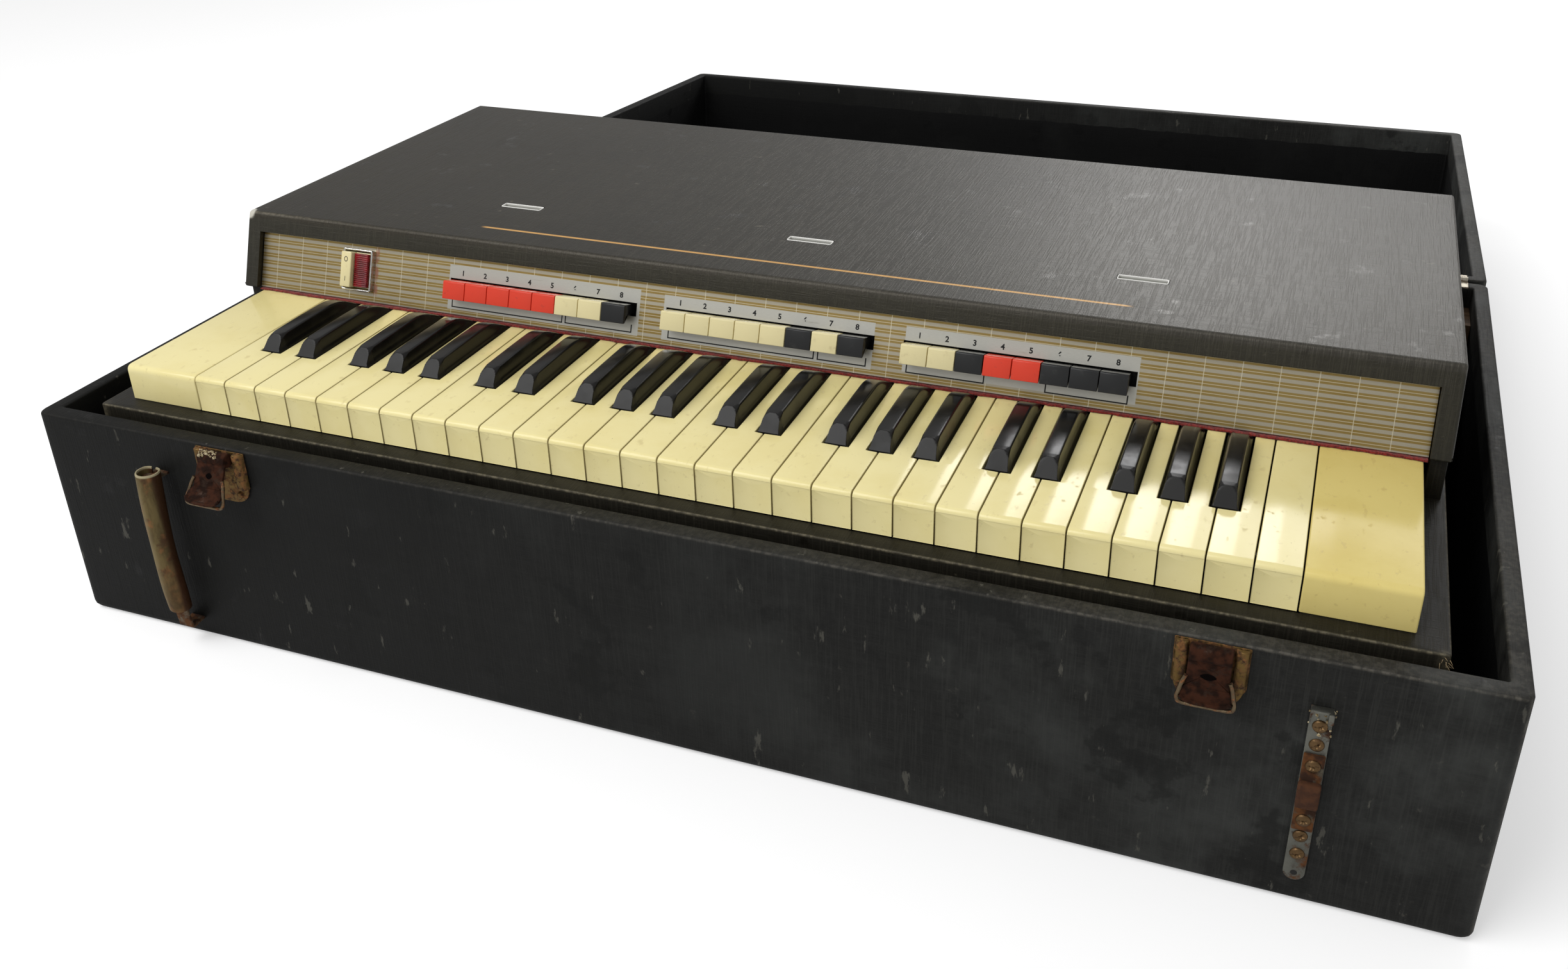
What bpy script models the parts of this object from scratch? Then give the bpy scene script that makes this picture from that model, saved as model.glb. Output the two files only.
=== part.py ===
"""A portable combo organ sitting in its carrying case, with the case lid laid open behind it.

Metres, +Z up. The origin is the centre of the case's underside on the table, +X runs to the
high notes and +Y to the lid. Every moving piece has its origin on the axis it turns about.
"""
import itertools
import math

import bmesh
import bpy
from mathutils import Matrix, Vector

# Running clearances
SEAT_GAP = 0.0003
HINGE_END_GAP = 0.0004

# Carrying case, a plywood tray covered in vinyl
CASE_WIDTH = 0.896
CASE_DEPTH = 0.524
CASE_HEIGHT = 0.1547
CASE_SIDE_WALL = 0.0105
CASE_FRONT_WALL = 0.0125
CASE_BACK_WALL = 0.011
CASE_FLOOR = 0.009
CASE_EDGE_RADIUS = 0.006

# Lid, the same tray with a shorter wall, hinged to the back wall
LID_HEIGHT = 0.100
LID_FRONT_SETBACK = 0.0015
LID_DROOP = math.radians(3.4)

# Piano hinge along the back rim
HINGE_LENGTH = 0.868
HINGE_KNUCKLES = 21
HINGE_KNUCKLE_RADIUS = 0.0025
HINGE_LEAF = 0.0012
HINGE_OFFSET = 0.0032
HINGE_RECESS = 0.0015

# Wooden bearers in the case, on which the organ rests
BEARER_FRONT_WIDTH = 0.020
BEARER_REAR_WIDTH = 0.035
BEARER_HEIGHT = 0.018

# Latches on the case front
LATCH_LEFT_X = -0.2988
LATCH_RIGHT_X = 0.3043
LATCH_WIDTH = 0.040
LATCH_HEIGHT = 0.042
LATCH_SHEET = 0.0012
LATCH_WING = 0.0072
LATCH_WING_DEPTH = 0.0045
LATCH_CORNER_RADIUS = 0.008
LEVER_LENGTH = 0.036
LEVER_WIDTH = 0.0225
LEVER_LIP_WIDTH = 0.0265
LEVER_LIP_LENGTH = 0.009
LEVER_SHEET = 0.002
LEVER_ROLL_RADIUS = 0.004
LEVER_LINK_WIDTH = 0.010
LEVER_LEFT_SWING = math.radians(28)
BAIL_WIRE = 0.0018
BAIL_PIVOT_DROP = 0.015
KEEPER_WIDTH = 0.024
KEEPER_HEIGHT = 0.014
KEEPER_HOOK = 0.004
KEEPER_RIM_GAP = 0.004

# Carrying handles on the case front
HANDLE_LEFT_X = -0.3508
HANDLE_RIGHT_X = 0.3588
HANDLE_STRAP_WIDTH = 0.011
HANDLE_STRAP_SHEET = 0.0018
HANDLE_LEFT_DROP = 0.0185
HANDLE_LEFT_LENGTH = 0.1215
HANDLE_RIGHT_DROP = 0.026
HANDLE_RIGHT_LENGTH = 0.112
HANDLE_SLEEVE_DROP = 0.0025
HANDLE_SLEEVE_LENGTH = 0.103
HANDLE_SLEEVE_RADIUS = 0.010
HANDLE_SLEEVE_SHEET = 0.0014
HANDLE_SLEEVE_SLIT = 0.006
HANDLE_STANDOFF = 0.0140
HANDLE_BOW = 0.003
HANDLE_PLATE_SHEET = 0.0015
HANDLE_BLOCK_LENGTH = 0.0155
HANDLE_BLOCK_DEPTH = 0.004
HANDLE_SCREW_RADIUS = 0.0038
HANDLE_SCREW_DEPTH = 0.0018
HANDLE_HOLE_RADIUS = 0.002
HANDLE_SCREW_DROPS = (0.0115, 0.023, 0.035, 0.070, 0.082, 0.094)

# Keyboard: 49 notes from C to C
OCTAVES = 4
KEY_PITCH = 0.0235
KEY_GAP = 0.0008
KEY_REST_GAP = 0.0005
KEY_HEIGHT = 0.0238
KEY_LENGTH = 0.136
KEY_HEAD = 0.0472
KEY_LIP = 0.003
KEY_NOSE_RADIUS = 0.003
KEY_UNDERSIDE = 0.012
KEY_BODY_END = 0.200
SHARP_START = 0.048
SHARP_WIDTH = 0.014
SHARP_TOP_WIDTH = 0.010
SHARP_RISE = 0.0092
SHARP_FRONT_LEAN = 0.008
SHARP_CREST_END = 0.110
SHARP_TAIL_END = 0.1345
SHARP_CLEARANCE = 0.0012
SHARP_CENTRES = (0.92, 2.10, 3.88, 5.02, 6.17)
PIVOT_DISTANCE = 0.2095
TAIL_BOTTOM = 0.010
TAIL_TOP = 0.016
COMB_BAR_START = 0.215
COMB_BAR_WIDTH = 0.005
COMB_BAR_STEP = 0.009
COMB_BAR_BOTTOM = 0.003
COMB_BAR_TOP = 0.008

# Organ base board with its key slip, and the cheek blocks beside the keys
BOARD_WIDTH = 0.824
BOARD_THICKNESS = 0.0185
BOARD_BELOW_RIM = 0.016
SLIP_WIDTH = 0.0124
SLIP_GAP = 0.0006
WELL_DEPTH = 0.010
CASE_FRONT_GAP = 0.0075
CHEEK_WIDTH = 0.0555
CHEEK_LENGTH = 0.150

# Hood: top, sides, back and front lip of one vinyl covered box
HOOD_WIDTH = 0.821
HOOD_WALL = 0.0115
HOOD_TOP_WALL = 0.009
HOOD_LIP = 0.0037
HOOD_LIP_HEIGHT = 0.0134
HOOD_LEAN = math.radians(20.6)
HOOD_SHOULDER = 0.152
HOOD_BOTTOM = 0.0262
HOOD_TOP = 0.0779
HOOD_BACK_TOP = 0.0741
CASE_BACK_GAP = 0.0177
HOOD_EDGE_RADIUS = 0.0025
HOOD_FOOT_RADIUS = 0.004
HOOD_CORNER_RADIUS = 0.010
STAND_SOCKET_SPACING = 0.2235
STAND_SOCKET_BACK = 0.222
STAND_SOCKET_LENGTH = 0.032
STAND_SOCKET_WIDTH = 0.0075
STAND_SOCKET_WALL = 0.001
STAND_SOCKET_DEPTH = 0.020

# Control panel, a leaning aluminium plate
PANEL_SHEET = 0.0012
PANEL_HEIGHT = 0.044
PANEL_EDGE_GAP = 0.0005
FELT_HEIGHT = 0.0010
FELT_WIDTH = 0.0050

# Rocker switch at the low end of the panel, measured from the first key and the panel foot
BEZEL_X = 0.0143
BEZEL_S = 0.0068
BEZEL_WIDTH = 0.0245
BEZEL_HEIGHT = 0.0299
BEZEL_BORDER = 0.0015
BEZEL_DEPTH = 0.0032
ROCKER_CLEARANCE = 0.0008
ROCKER_DEPTH = 0.012
ROCKER_FACE = 0.002
ROCKER_AXIS_DEPTH = 0.003
ROCKER_FIN_WIDTH = 0.0085
ROCKER_FIN_HEIGHT = 0.008
LENS_MARGIN = 0.0006
LENS_HEIGHT = 0.0032

# Tabs: eight to a bank (R red, C cream, K black), each colour run on one bar
TAB_BANK_STARTS = (0.1034, 0.2692, 0.4326)
TAB_COLOURS = ("RRRRRCCK", "CCCCCKCK", "CCKRRKKK")
TAB_PITCH = 0.0175
TAB_GAP = 0.0006
TAB_REACH = 0.011
TAB_FACE_BOTTOM = 0.0112
TAB_FACE_TOP = 0.0229
TAB_NECK_BOTTOM = 0.017
TAB_NECK_TOP = 0.0243
TAB_TOP_BEVEL = 0.0008
TAB_AXIS_DEPTH = 0.005
TAB_AXIS_S = 0.0205
TAB_ROOT_RADIUS = 0.0035
SLOT_BOTTOM = 0.0161
SLOT_TOP = 0.0252
SLOT_MARGIN = 0.0014
SLOT_END_MARGIN = 0.003
RAIL_SHEET = 0.003
RAIL_BOTTOM = 0.011
RAIL_TOP = 0.030
RAIL_OVERHANG = 0.008

# Electronics under the hood, measured from the first key and the key fronts
KEY_FRAME_SHEET = 0.0012
KEY_FRAME_FRONT = 0.036
KEY_FRAME_RAIL = 0.003
KEY_FRAME_STOP_HEIGHT = 0.0161
CONTACT_BOARD_START = 0.060
CONTACT_BOARD_WIDTH = 0.050
CONTACT_BOARD_LENGTH = 0.660
CONTACT_RIDGE_HEIGHT = 0.008
CONTACT_RIDGE_WIDTH = 0.004
BOARD_SHEET = 0.0016
GENERATOR_X = 0.020
GENERATOR_Y = 0.258
GENERATOR_LENGTH = 0.400
GENERATOR_SHARE = 0.456
GENERATOR_POST = 0.006
GENERATOR_POST_RADIUS = 0.004
GENERATOR_CANS = 12
GENERATOR_CAN_RADIUS = 0.005
GENERATOR_CAN_HEIGHT = 0.014
REVERB_X = 0.040
REVERB_START_SHARE = 0.558
REVERB_LENGTH = 0.360
REVERB_SHARE = 0.430
REVERB_HEIGHT = 0.032
REVERB_FLANGE = 0.012
REVERB_SHEET = 0.0015
TRANSFORMER_X = 0.590
TRANSFORMER_SHARE = 0.386
TRANSFORMER_CORE = (0.060, 0.022, 0.050)
TRANSFORMER_COIL = (0.040, 0.046, 0.030)
TRANSFORMER_FOOT = (0.082, 0.030, 0.002)
CONNECTOR_X = 0.600
CONNECTOR_LENGTH = 0.100
CONNECTOR_HEIGHT = 0.028
CONNECTOR_DROP = 0.012
CONNECTOR_INLET = (0.028, 0.006, 0.020)
CONNECTOR_JACK_RADIUS = 0.0055
CONNECTOR_JACK_DEPTH = 0.005
CONNECTOR_JACK_PLACES = (0.010, 0.032)

# Places that follow from the sizes above
CASE_FRONT = -CASE_DEPTH / 2
CASE_BACK = CASE_DEPTH / 2
BOARD_BOTTOM = CASE_HEIGHT - BOARD_BELOW_RIM
BOARD_TOP = BOARD_BOTTOM + BOARD_THICKNESS
BOARD_FRONT = CASE_FRONT + CASE_FRONT_WALL + CASE_FRONT_GAP
BEARER_TOP = BOARD_BOTTOM - SEAT_GAP
KEY_FRONT = BOARD_FRONT + SLIP_WIDTH + SLIP_GAP
KEY_BOTTOM = BOARD_TOP + KEY_REST_GAP
NATURALS = 7 * OCTAVES + 1
FIRST_KEY = -NATURALS * KEY_PITCH / 2
KEY_TOP = KEY_BOTTOM + KEY_HEIGHT
WELL_FLOOR = BOARD_TOP - WELL_DEPTH
HOOD_FOOT = KEY_BOTTOM + HOOD_BOTTOM
HOOD_REAR = CASE_BACK - CASE_BACK_WALL - CASE_BACK_GAP
REAR_ROOM = HOOD_REAR - 2 * HOOD_TOP_WALL - KEY_FRONT - GENERATOR_Y
GENERATOR_WIDTH = GENERATOR_SHARE * REAR_ROOM
REVERB_Y = GENERATOR_Y + REVERB_START_SHARE * REAR_ROOM
REVERB_WIDTH = REVERB_SHARE * REAR_ROOM
TRANSFORMER_Y = GENERATOR_Y + TRANSFORMER_SHARE * REAR_ROOM
PANEL_FOOT_Y = KEY_FRONT + KEY_LENGTH + SEAT_GAP
PANEL_FOOT_Z = KEY_TOP + 2 * SEAT_GAP + FELT_HEIGHT + PANEL_SHEET * math.sin(HOOD_LEAN)
HOOD_FRONT_FOOT = PANEL_FOOT_Y - (HOOD_LIP + SEAT_GAP) / math.cos(HOOD_LEAN)
HOOD_INNER_X = HOOD_WIDTH / 2 - HOOD_WALL
PIVOT = Vector((0, KEY_FRONT + PIVOT_DISTANCE, KEY_BOTTOM + TAIL_BOTTOM))
HINGE_AXIS = Vector((0, CASE_BACK + HINGE_OFFSET, CASE_HEIGHT + SEAT_GAP))
PANEL_TURN = Matrix.Translation((0, PANEL_FOOT_Y, PANEL_FOOT_Z)) @ Matrix.Rotation(-HOOD_LEAN, 4, "X")
SIDE_VIEW = Matrix(((0, 0, 1, 0), (1, 0, 0, 0), (0, 1, 0, 0), (0, 0, 0, 1)))


def clear_scene():
    """Remove what the file opened with."""
    for item in list(bpy.data.objects):
        bpy.data.objects.remove(item, do_unlink=True)


def make_collection(name):
    """A collection under the scene's own."""
    group = bpy.data.collections.new(name)
    bpy.context.scene.collection.children.link(group)
    return group


clear_scene()
ORGAN = make_collection("combo_organ")


def finish(piece, colour, roughness=0.6, metallic=0.0):
    """Give a piece its own Principled material."""
    material = bpy.data.materials.new(piece.name)
    material.use_nodes = True
    shader = material.node_tree.nodes["Principled BSDF"]
    shader.inputs["Base Color"].default_value = (*colour, 1.0)
    shader.inputs["Roughness"].default_value = roughness
    shader.inputs["Metallic"].default_value = metallic
    piece.data.materials.clear()
    piece.data.materials.append(material)
    return piece


def from_bmesh(name, shape):
    """Turn a bmesh into an object of the organ's collection."""
    mesh = bpy.data.meshes.new(name)
    shape.to_mesh(mesh)
    shape.free()
    piece = bpy.data.objects.new(name, mesh)
    ORGAN.objects.link(piece)
    return piece


def box(name, low, high):
    """A block between two opposite corners."""
    low = Vector(low)
    high = Vector(high)
    shape = bmesh.new()
    bmesh.ops.create_cube(shape, size=1.0)
    bmesh.ops.scale(shape, vec=high - low, verts=shape.verts)
    bmesh.ops.translate(shape, vec=(low + high) / 2, verts=shape.verts)
    return from_bmesh(name, shape)


def rod(name, centre, axis, radius, length, sides=12):
    """A round bar along X, Y or Z."""
    turn = {"X": Matrix.Rotation(math.pi / 2, 4, "Y"), "Y": Matrix.Rotation(math.pi / 2, 4, "X"),
            "Z": Matrix.Identity(4)}[axis]
    shape = bmesh.new()
    bmesh.ops.create_cone(shape, cap_ends=True, segments=sides, radius1=radius, radius2=radius,
                          depth=length, matrix=Matrix.Translation(centre) @ turn)
    return from_bmesh(name, shape)


def outline_solid(name, points, thickness, placing):
    """A flat outline given a thickness, as a filled 2D curve that is made a mesh."""
    curve = bpy.data.curves.new(name, "CURVE")
    curve.dimensions = "2D"
    curve.fill_mode = "BOTH"
    curve.extrude = thickness / 2
    spline = curve.splines.new("POLY")
    spline.points.add(len(points) - 1)
    for point, (u, v) in zip(spline.points, points):
        point.co = (u, v, 0, 1)
    spline.use_cyclic_u = True
    return mesh_from_curve(name, curve, placing)


def mesh_from_curve(name, curve, placing):
    """Make a curve a closed mesh in place and remove the curve."""
    guide = bpy.data.objects.new(name + "_outline", curve)
    ORGAN.objects.link(guide)
    guide.matrix_world = placing
    bpy.context.view_layer.update()
    graph = bpy.context.evaluated_depsgraph_get()
    mesh = bpy.data.meshes.new_from_object(guide.evaluated_get(graph))
    bpy.data.objects.remove(guide, do_unlink=True)
    shape = bmesh.new()
    shape.from_mesh(mesh)
    bpy.data.meshes.remove(mesh)
    bmesh.ops.remove_doubles(shape, verts=shape.verts, dist=0.000001)
    bmesh.ops.recalc_face_normals(shape, faces=shape.faces)
    bmesh.ops.transform(shape, matrix=placing, verts=shape.verts)
    return from_bmesh(name, shape)


def side_solid(name, points, x_low, x_high):
    """An outline in Y and Z, carried from one X to another."""
    placing = Matrix.Translation(((x_low + x_high) / 2, 0, 0)) @ SIDE_VIEW
    return outline_solid(name, points, x_high - x_low, placing)


def arc(centre, radius, start, end, steps):
    """Points along a round corner, in degrees."""
    points = []
    for step in range(steps + 1):
        angle = math.radians(start + (end - start) * step / steps)
        points.append((centre[0] + radius * math.cos(angle), centre[1] + radius * math.sin(angle)))
    return points


def combine(target, tools, operation):
    """Run exact Booleans on a piece and remove the tools."""
    for tool in tools:
        modifier = target.modifiers.new(operation.title(), "BOOLEAN")
        modifier.operation = operation
        modifier.solver = "EXACT"
        modifier.object = tool
        bpy.context.view_layer.update()
        graph = bpy.context.evaluated_depsgraph_get()
        mesh = bpy.data.meshes.new_from_object(target.evaluated_get(graph))
        target.modifiers.clear()
        old = target.data
        target.data = mesh
        bpy.data.meshes.remove(old)
        bpy.data.objects.remove(tool, do_unlink=True)
    return target


def cut(target, *tools):
    """Take the tools away from a piece."""
    return combine(target, tools, "DIFFERENCE")


def weld(target, *tools):
    """Join the tools to a piece as one solid."""
    return combine(target, tools, "UNION")


def round_edges(piece, radius, steps, chosen):
    """Round the edges for which chosen(middle, direction) is true."""
    shape = bmesh.new()
    shape.from_mesh(piece.data)
    edges = []
    for edge in shape.edges:
        middle = (edge.verts[0].co + edge.verts[1].co) / 2
        direction = (edge.verts[1].co - edge.verts[0].co).normalized()
        if chosen(middle, direction):
            edges.append(edge)
    bmesh.ops.bevel(shape, geom=edges, offset=radius, segments=steps, profile=0.5, affect="EDGES")
    shape.to_mesh(piece.data)
    shape.free()
    return piece


def soft_shade(piece, angle=35):
    """Smooth shading with sharp edges kept."""
    piece.data.shade_smooth()
    piece.data.set_sharp_from_angle(angle=math.radians(angle))
    return piece


def put_origin(piece, point):
    """Move a piece's origin to a point and leave the piece where it is."""
    piece.data.transform(Matrix.Translation(-Vector(point)))
    piece.location = point
    return piece


def make_empty(name, placing):
    """An empty that carries a group of pieces."""
    frame = bpy.data.objects.new(name, None)
    frame.empty_display_size = 0.02
    frame.matrix_world = placing
    ORGAN.objects.link(frame)
    return frame


VINYL = (0.030, 0.029, 0.027)
WOOD = (0.300, 0.190, 0.100)
STEEL = (0.500, 0.480, 0.450)
RUSTY_STEEL = (0.230, 0.110, 0.045)
BRASS = (0.430, 0.300, 0.110)
ALUMINIUM = (0.640, 0.620, 0.560)
IVORY_PLASTIC = (0.760, 0.700, 0.420)
CREAM_PLASTIC = (0.800, 0.740, 0.530)
BLACK_PLASTIC = (0.012, 0.012, 0.012)
RED_PLASTIC = (0.760, 0.050, 0.020)
CIRCUIT_BOARD = (0.330, 0.190, 0.080)


def tray(name, y_low, y_high, wall_low, wall_high, z_low, z_high):
    """An open plywood tray with its outer upright and bottom edges rounded."""
    half = CASE_WIDTH / 2
    piece = box(name, (-half, y_low, z_low), (half, y_high, z_high))

    def outer(middle, direction):
        upright = abs(direction.z) > 0.9
        return upright or abs(middle.z - z_low) < CASE_FLOOR / 2

    round_edges(piece, CASE_EDGE_RADIUS, 3, outer)
    inner = half - CASE_SIDE_WALL
    cut(piece, box("hollow", (-inner, y_low + wall_low, z_low + CASE_FLOOR),
                   (inner, y_high - wall_high, z_high + CASE_FLOOR)))
    return piece


def hinge_recess(y_low, y_high, rim):
    """The shallow rebate in a back rim that a hinge leaf lies in."""
    half = HINGE_LENGTH / 2 + SEAT_GAP
    return box("recess", (-half, y_low, rim - HINGE_RECESS), (half, y_high, rim + HINGE_RECESS))


def hinge_leaf(name, side, parity):
    """One leaf with its share of the knuckles; side is -1 for the case and 1 for the lid."""
    half = HINGE_LENGTH / 2
    top = -SEAT_GAP
    near = side * (HINGE_KNUCKLE_RADIUS + SEAT_GAP)
    far = side * (HINGE_OFFSET + CASE_BACK_WALL - SEAT_GAP)
    leaf = box(name, (-half, min(near, far), top - HINGE_LEAF), (half, max(near, far), top))
    pitch = HINGE_LENGTH / HINGE_KNUCKLES
    inset = SEAT_GAP / 3
    high_z = top - inset
    low_z = top - HINGE_LEAF + inset
    start = math.degrees(math.asin(high_z / HINGE_KNUCKLE_RADIUS))
    end = math.degrees(math.asin(low_z / HINGE_KNUCKLE_RADIUS)) + 360
    root = HINGE_KNUCKLE_RADIUS + HINGE_LEAF
    outline = [(root, high_z)] + arc((0, 0), HINGE_KNUCKLE_RADIUS, start, end, 12) + [(root, low_z)]
    outline = [(side * y, z) for y, z in outline]
    for index in range(parity, HINGE_KNUCKLES, 2):
        low = -half + index * pitch + HINGE_END_GAP / 2
        weld(leaf, side_solid("knuckle", outline, low, low + pitch - HINGE_END_GAP))
    return soft_shade(leaf)


def make_case():
    """The tray that stands on the table, and the two bearers glued inside it."""
    base = tray("case_base", CASE_FRONT, CASE_BACK, CASE_FRONT_WALL, CASE_BACK_WALL, 0, CASE_HEIGHT)
    cut(base, hinge_recess(CASE_BACK - CASE_BACK_WALL - SEAT_GAP, CASE_BACK + SEAT_GAP, CASE_HEIGHT))
    finish(soft_shade(base), VINYL, 0.75)
    leaf = hinge_leaf("hinge_leaf_base", -1, 0)
    leaf.location = HINGE_AXIS
    finish(leaf, STEEL, 0.45, 1.0)
    inner = CASE_WIDTH / 2 - CASE_SIDE_WALL - SEAT_GAP
    front = CASE_FRONT + CASE_FRONT_WALL + SEAT_GAP
    rear = CASE_BACK - CASE_BACK_WALL - SEAT_GAP
    low = BEARER_TOP - BEARER_HEIGHT
    finish(box("bearer_front", (-inner, front, low), (inner, front + BEARER_FRONT_WIDTH, BEARER_TOP)), WOOD)
    finish(box("bearer_rear", (-inner, rear - BEARER_REAR_WIDTH, low), (inner, rear, BEARER_TOP)), WOOD)


def make_lid():
    """The lid, made with its rim level and then let down by its droop behind the case."""
    rim = -SEAT_GAP
    depth = CASE_DEPTH - LID_FRONT_SETBACK
    far = HINGE_OFFSET + depth
    lid = tray("case_lid", HINGE_OFFSET, far, CASE_BACK_WALL, CASE_FRONT_WALL, rim - LID_HEIGHT, rim)
    cut(lid, hinge_recess(HINGE_OFFSET - SEAT_GAP, HINGE_OFFSET + CASE_BACK_WALL + SEAT_GAP, rim))
    finish(soft_shade(lid), VINYL, 0.75)
    leaf = finish(hinge_leaf("hinge_leaf_lid", 1, 1), STEEL, 0.45, 1.0)
    pieces = [lid, leaf]
    for name, x in (("lid_keeper_left", LATCH_LEFT_X), ("lid_keeper_right", LATCH_RIGHT_X)):
        wall = far + SEAT_GAP
        top = rim - KEEPER_RIM_GAP
        low = top - KEEPER_HEIGHT
        outline = [(wall, top), (wall, low), (wall + KEEPER_HOOK, low),
                   (wall + KEEPER_HOOK, low + KEEPER_HOOK), (wall + KEEPER_HOOK - LATCH_SHEET, low + KEEPER_HOOK),
                   (wall + KEEPER_HOOK - LATCH_SHEET, low + LATCH_SHEET), (wall + LATCH_SHEET, low + LATCH_SHEET),
                   (wall + LATCH_SHEET, top)]
        keeper = side_solid(name, outline, x - KEEPER_WIDTH / 2, x + KEEPER_WIDTH / 2)
        pieces.append(finish(keeper, BRASS, 0.4, 1.0))
    for piece in pieces:
        piece.location = HINGE_AXIS
        piece.rotation_euler = (-LID_DROOP, 0, 0)


def latch_plate(name, x):
    """The pressed plate: a flat back with a raised wing down each side and round lower corners."""
    half = LATCH_WIDTH / 2
    top = CASE_HEIGHT - LATCH_SHEET
    low = top - LATCH_HEIGHT
    r = LATCH_CORNER_RADIUS
    wall = CASE_FRONT - SEAT_GAP
    face = wall - LATCH_WING_DEPTH
    outline = [(x - half, top)] + arc((x - half + r, low + r), r, 180, 270, 4)
    outline += arc((x + half - r, low + r), r, 270, 360, 4) + [(x + half, top)]
    upright = Matrix.Translation((0, (wall + face) / 2, 0)) @ Matrix.Rotation(math.pi / 2, 4, "X")
    plate = outline_solid(name, outline, wall - face, upright)
    channel = half - LATCH_WING
    cut(plate, box("channel", (x - channel, face - LATCH_SHEET, low - LATCH_SHEET),
                   (x + channel, wall - LATCH_SHEET, top + LATCH_SHEET)))
    return finish(soft_shade(plate), BRASS, 0.5, 1.0)


def latch_lever(name, x, swing):
    """The flap that hangs from a rolled barrel, with a wider lip below and a wire link on top."""
    axis = Vector((x, CASE_FRONT - 2 * SEAT_GAP - LATCH_SHEET - LEVER_ROLL_RADIUS,
                   CASE_HEIGHT - LATCH_SHEET - LEVER_ROLL_RADIUS))
    half = LEVER_WIDTH / 2
    lip = LEVER_LIP_WIDTH / 2
    end = -LEVER_LENGTH
    neck = end + LEVER_LIP_LENGTH
    outline = [(-half, 0), (-half, neck), (-lip, neck - LEVER_SHEET)]
    outline += arc((-lip + LEVER_SHEET, end + LEVER_SHEET), LEVER_SHEET, 180, 270, 2)
    outline += arc((lip - LEVER_SHEET, end + LEVER_SHEET), LEVER_SHEET, 270, 360, 2)
    outline += [(lip, neck - LEVER_SHEET), (half, neck), (half, 0)]
    face = -LEVER_ROLL_RADIUS + LEVER_SHEET / 2
    upright = Matrix.Translation((0, face, 0)) @ Matrix.Rotation(math.pi / 2, 4, "X")
    lever = outline_solid(name, outline, LEVER_SHEET, upright)
    roll = rod("roll", (0, 0, 0), "X", LEVER_ROLL_RADIUS, LEVER_WIDTH, 16)
    link = rod("link", (0, 0, LEVER_ROLL_RADIUS), "X", BAIL_WIRE / 2, LEVER_LINK_WIDTH, 8)
    weld(lever, roll, link)
    finish(soft_shade(lever), RUSTY_STEEL, 0.6, 0.6)
    lever.location = axis
    lever.rotation_euler = (-swing, 0, 0)
    return lever


def latch_bail(name, lever):
    """The wire bail round the flap's lower half, hung from the middle of the flap's sides."""
    plane = -LEVER_ROLL_RADIUS + LEVER_SHEET / 2
    reach = LEVER_WIDTH / 2 + SEAT_GAP
    side = reach + BAIL_WIRE
    low_side = LEVER_LIP_WIDTH / 2 + SEAT_GAP + BAIL_WIRE
    drop = BAIL_PIVOT_DROP - LEVER_LENGTH - BAIL_WIRE
    bend = BAIL_WIRE
    half = [(reach, 0), (side - bend / 2, 0), (side, -bend / 2), (low_side, drop + 2 * bend),
            (low_side - bend / 2, drop + bend / 2), (low_side - 2 * bend, drop)]
    route = half + [(-u, v) for u, v in reversed(half)]
    curve = bpy.data.curves.new(name, "CURVE")
    curve.dimensions = "3D"
    curve.bevel_depth = BAIL_WIRE / 2
    curve.bevel_resolution = 2
    curve.use_fill_caps = True
    spline = curve.splines.new("POLY")
    spline.points.add(len(route) - 1)
    for point, (u, v) in zip(spline.points, route):
        point.co = (u, 0, v, 1)
    bail = mesh_from_curve(name, curve, Matrix.Identity(4))
    finish(soft_shade(bail, 60), STEEL, 0.4, 1.0)
    bail.parent = lever
    bail.location = (0, plane, -BAIL_PIVOT_DROP)
    return bail


def make_latches():
    """Both latches; the left flap stands out from the wall, as it was left."""
    for side, x, swing in (("left", LATCH_LEFT_X, LEVER_LEFT_SWING), ("right", LATCH_RIGHT_X, 0)):
        latch_plate("latch_plate_" + side, x)
        lever = latch_lever("latch_lever_" + side, x, swing)
        latch_bail("latch_bail_" + side, lever)


def bowed(height):
    """How far the left handle stands off the wall at a height, most at its middle."""
    top = CASE_HEIGHT - HANDLE_LEFT_DROP
    share = (top - height) / HANDLE_LEFT_LENGTH
    return HANDLE_STANDOFF - HANDLE_BOW + HANDLE_BOW * (1 - (2 * share - 1) ** 2)


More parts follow.
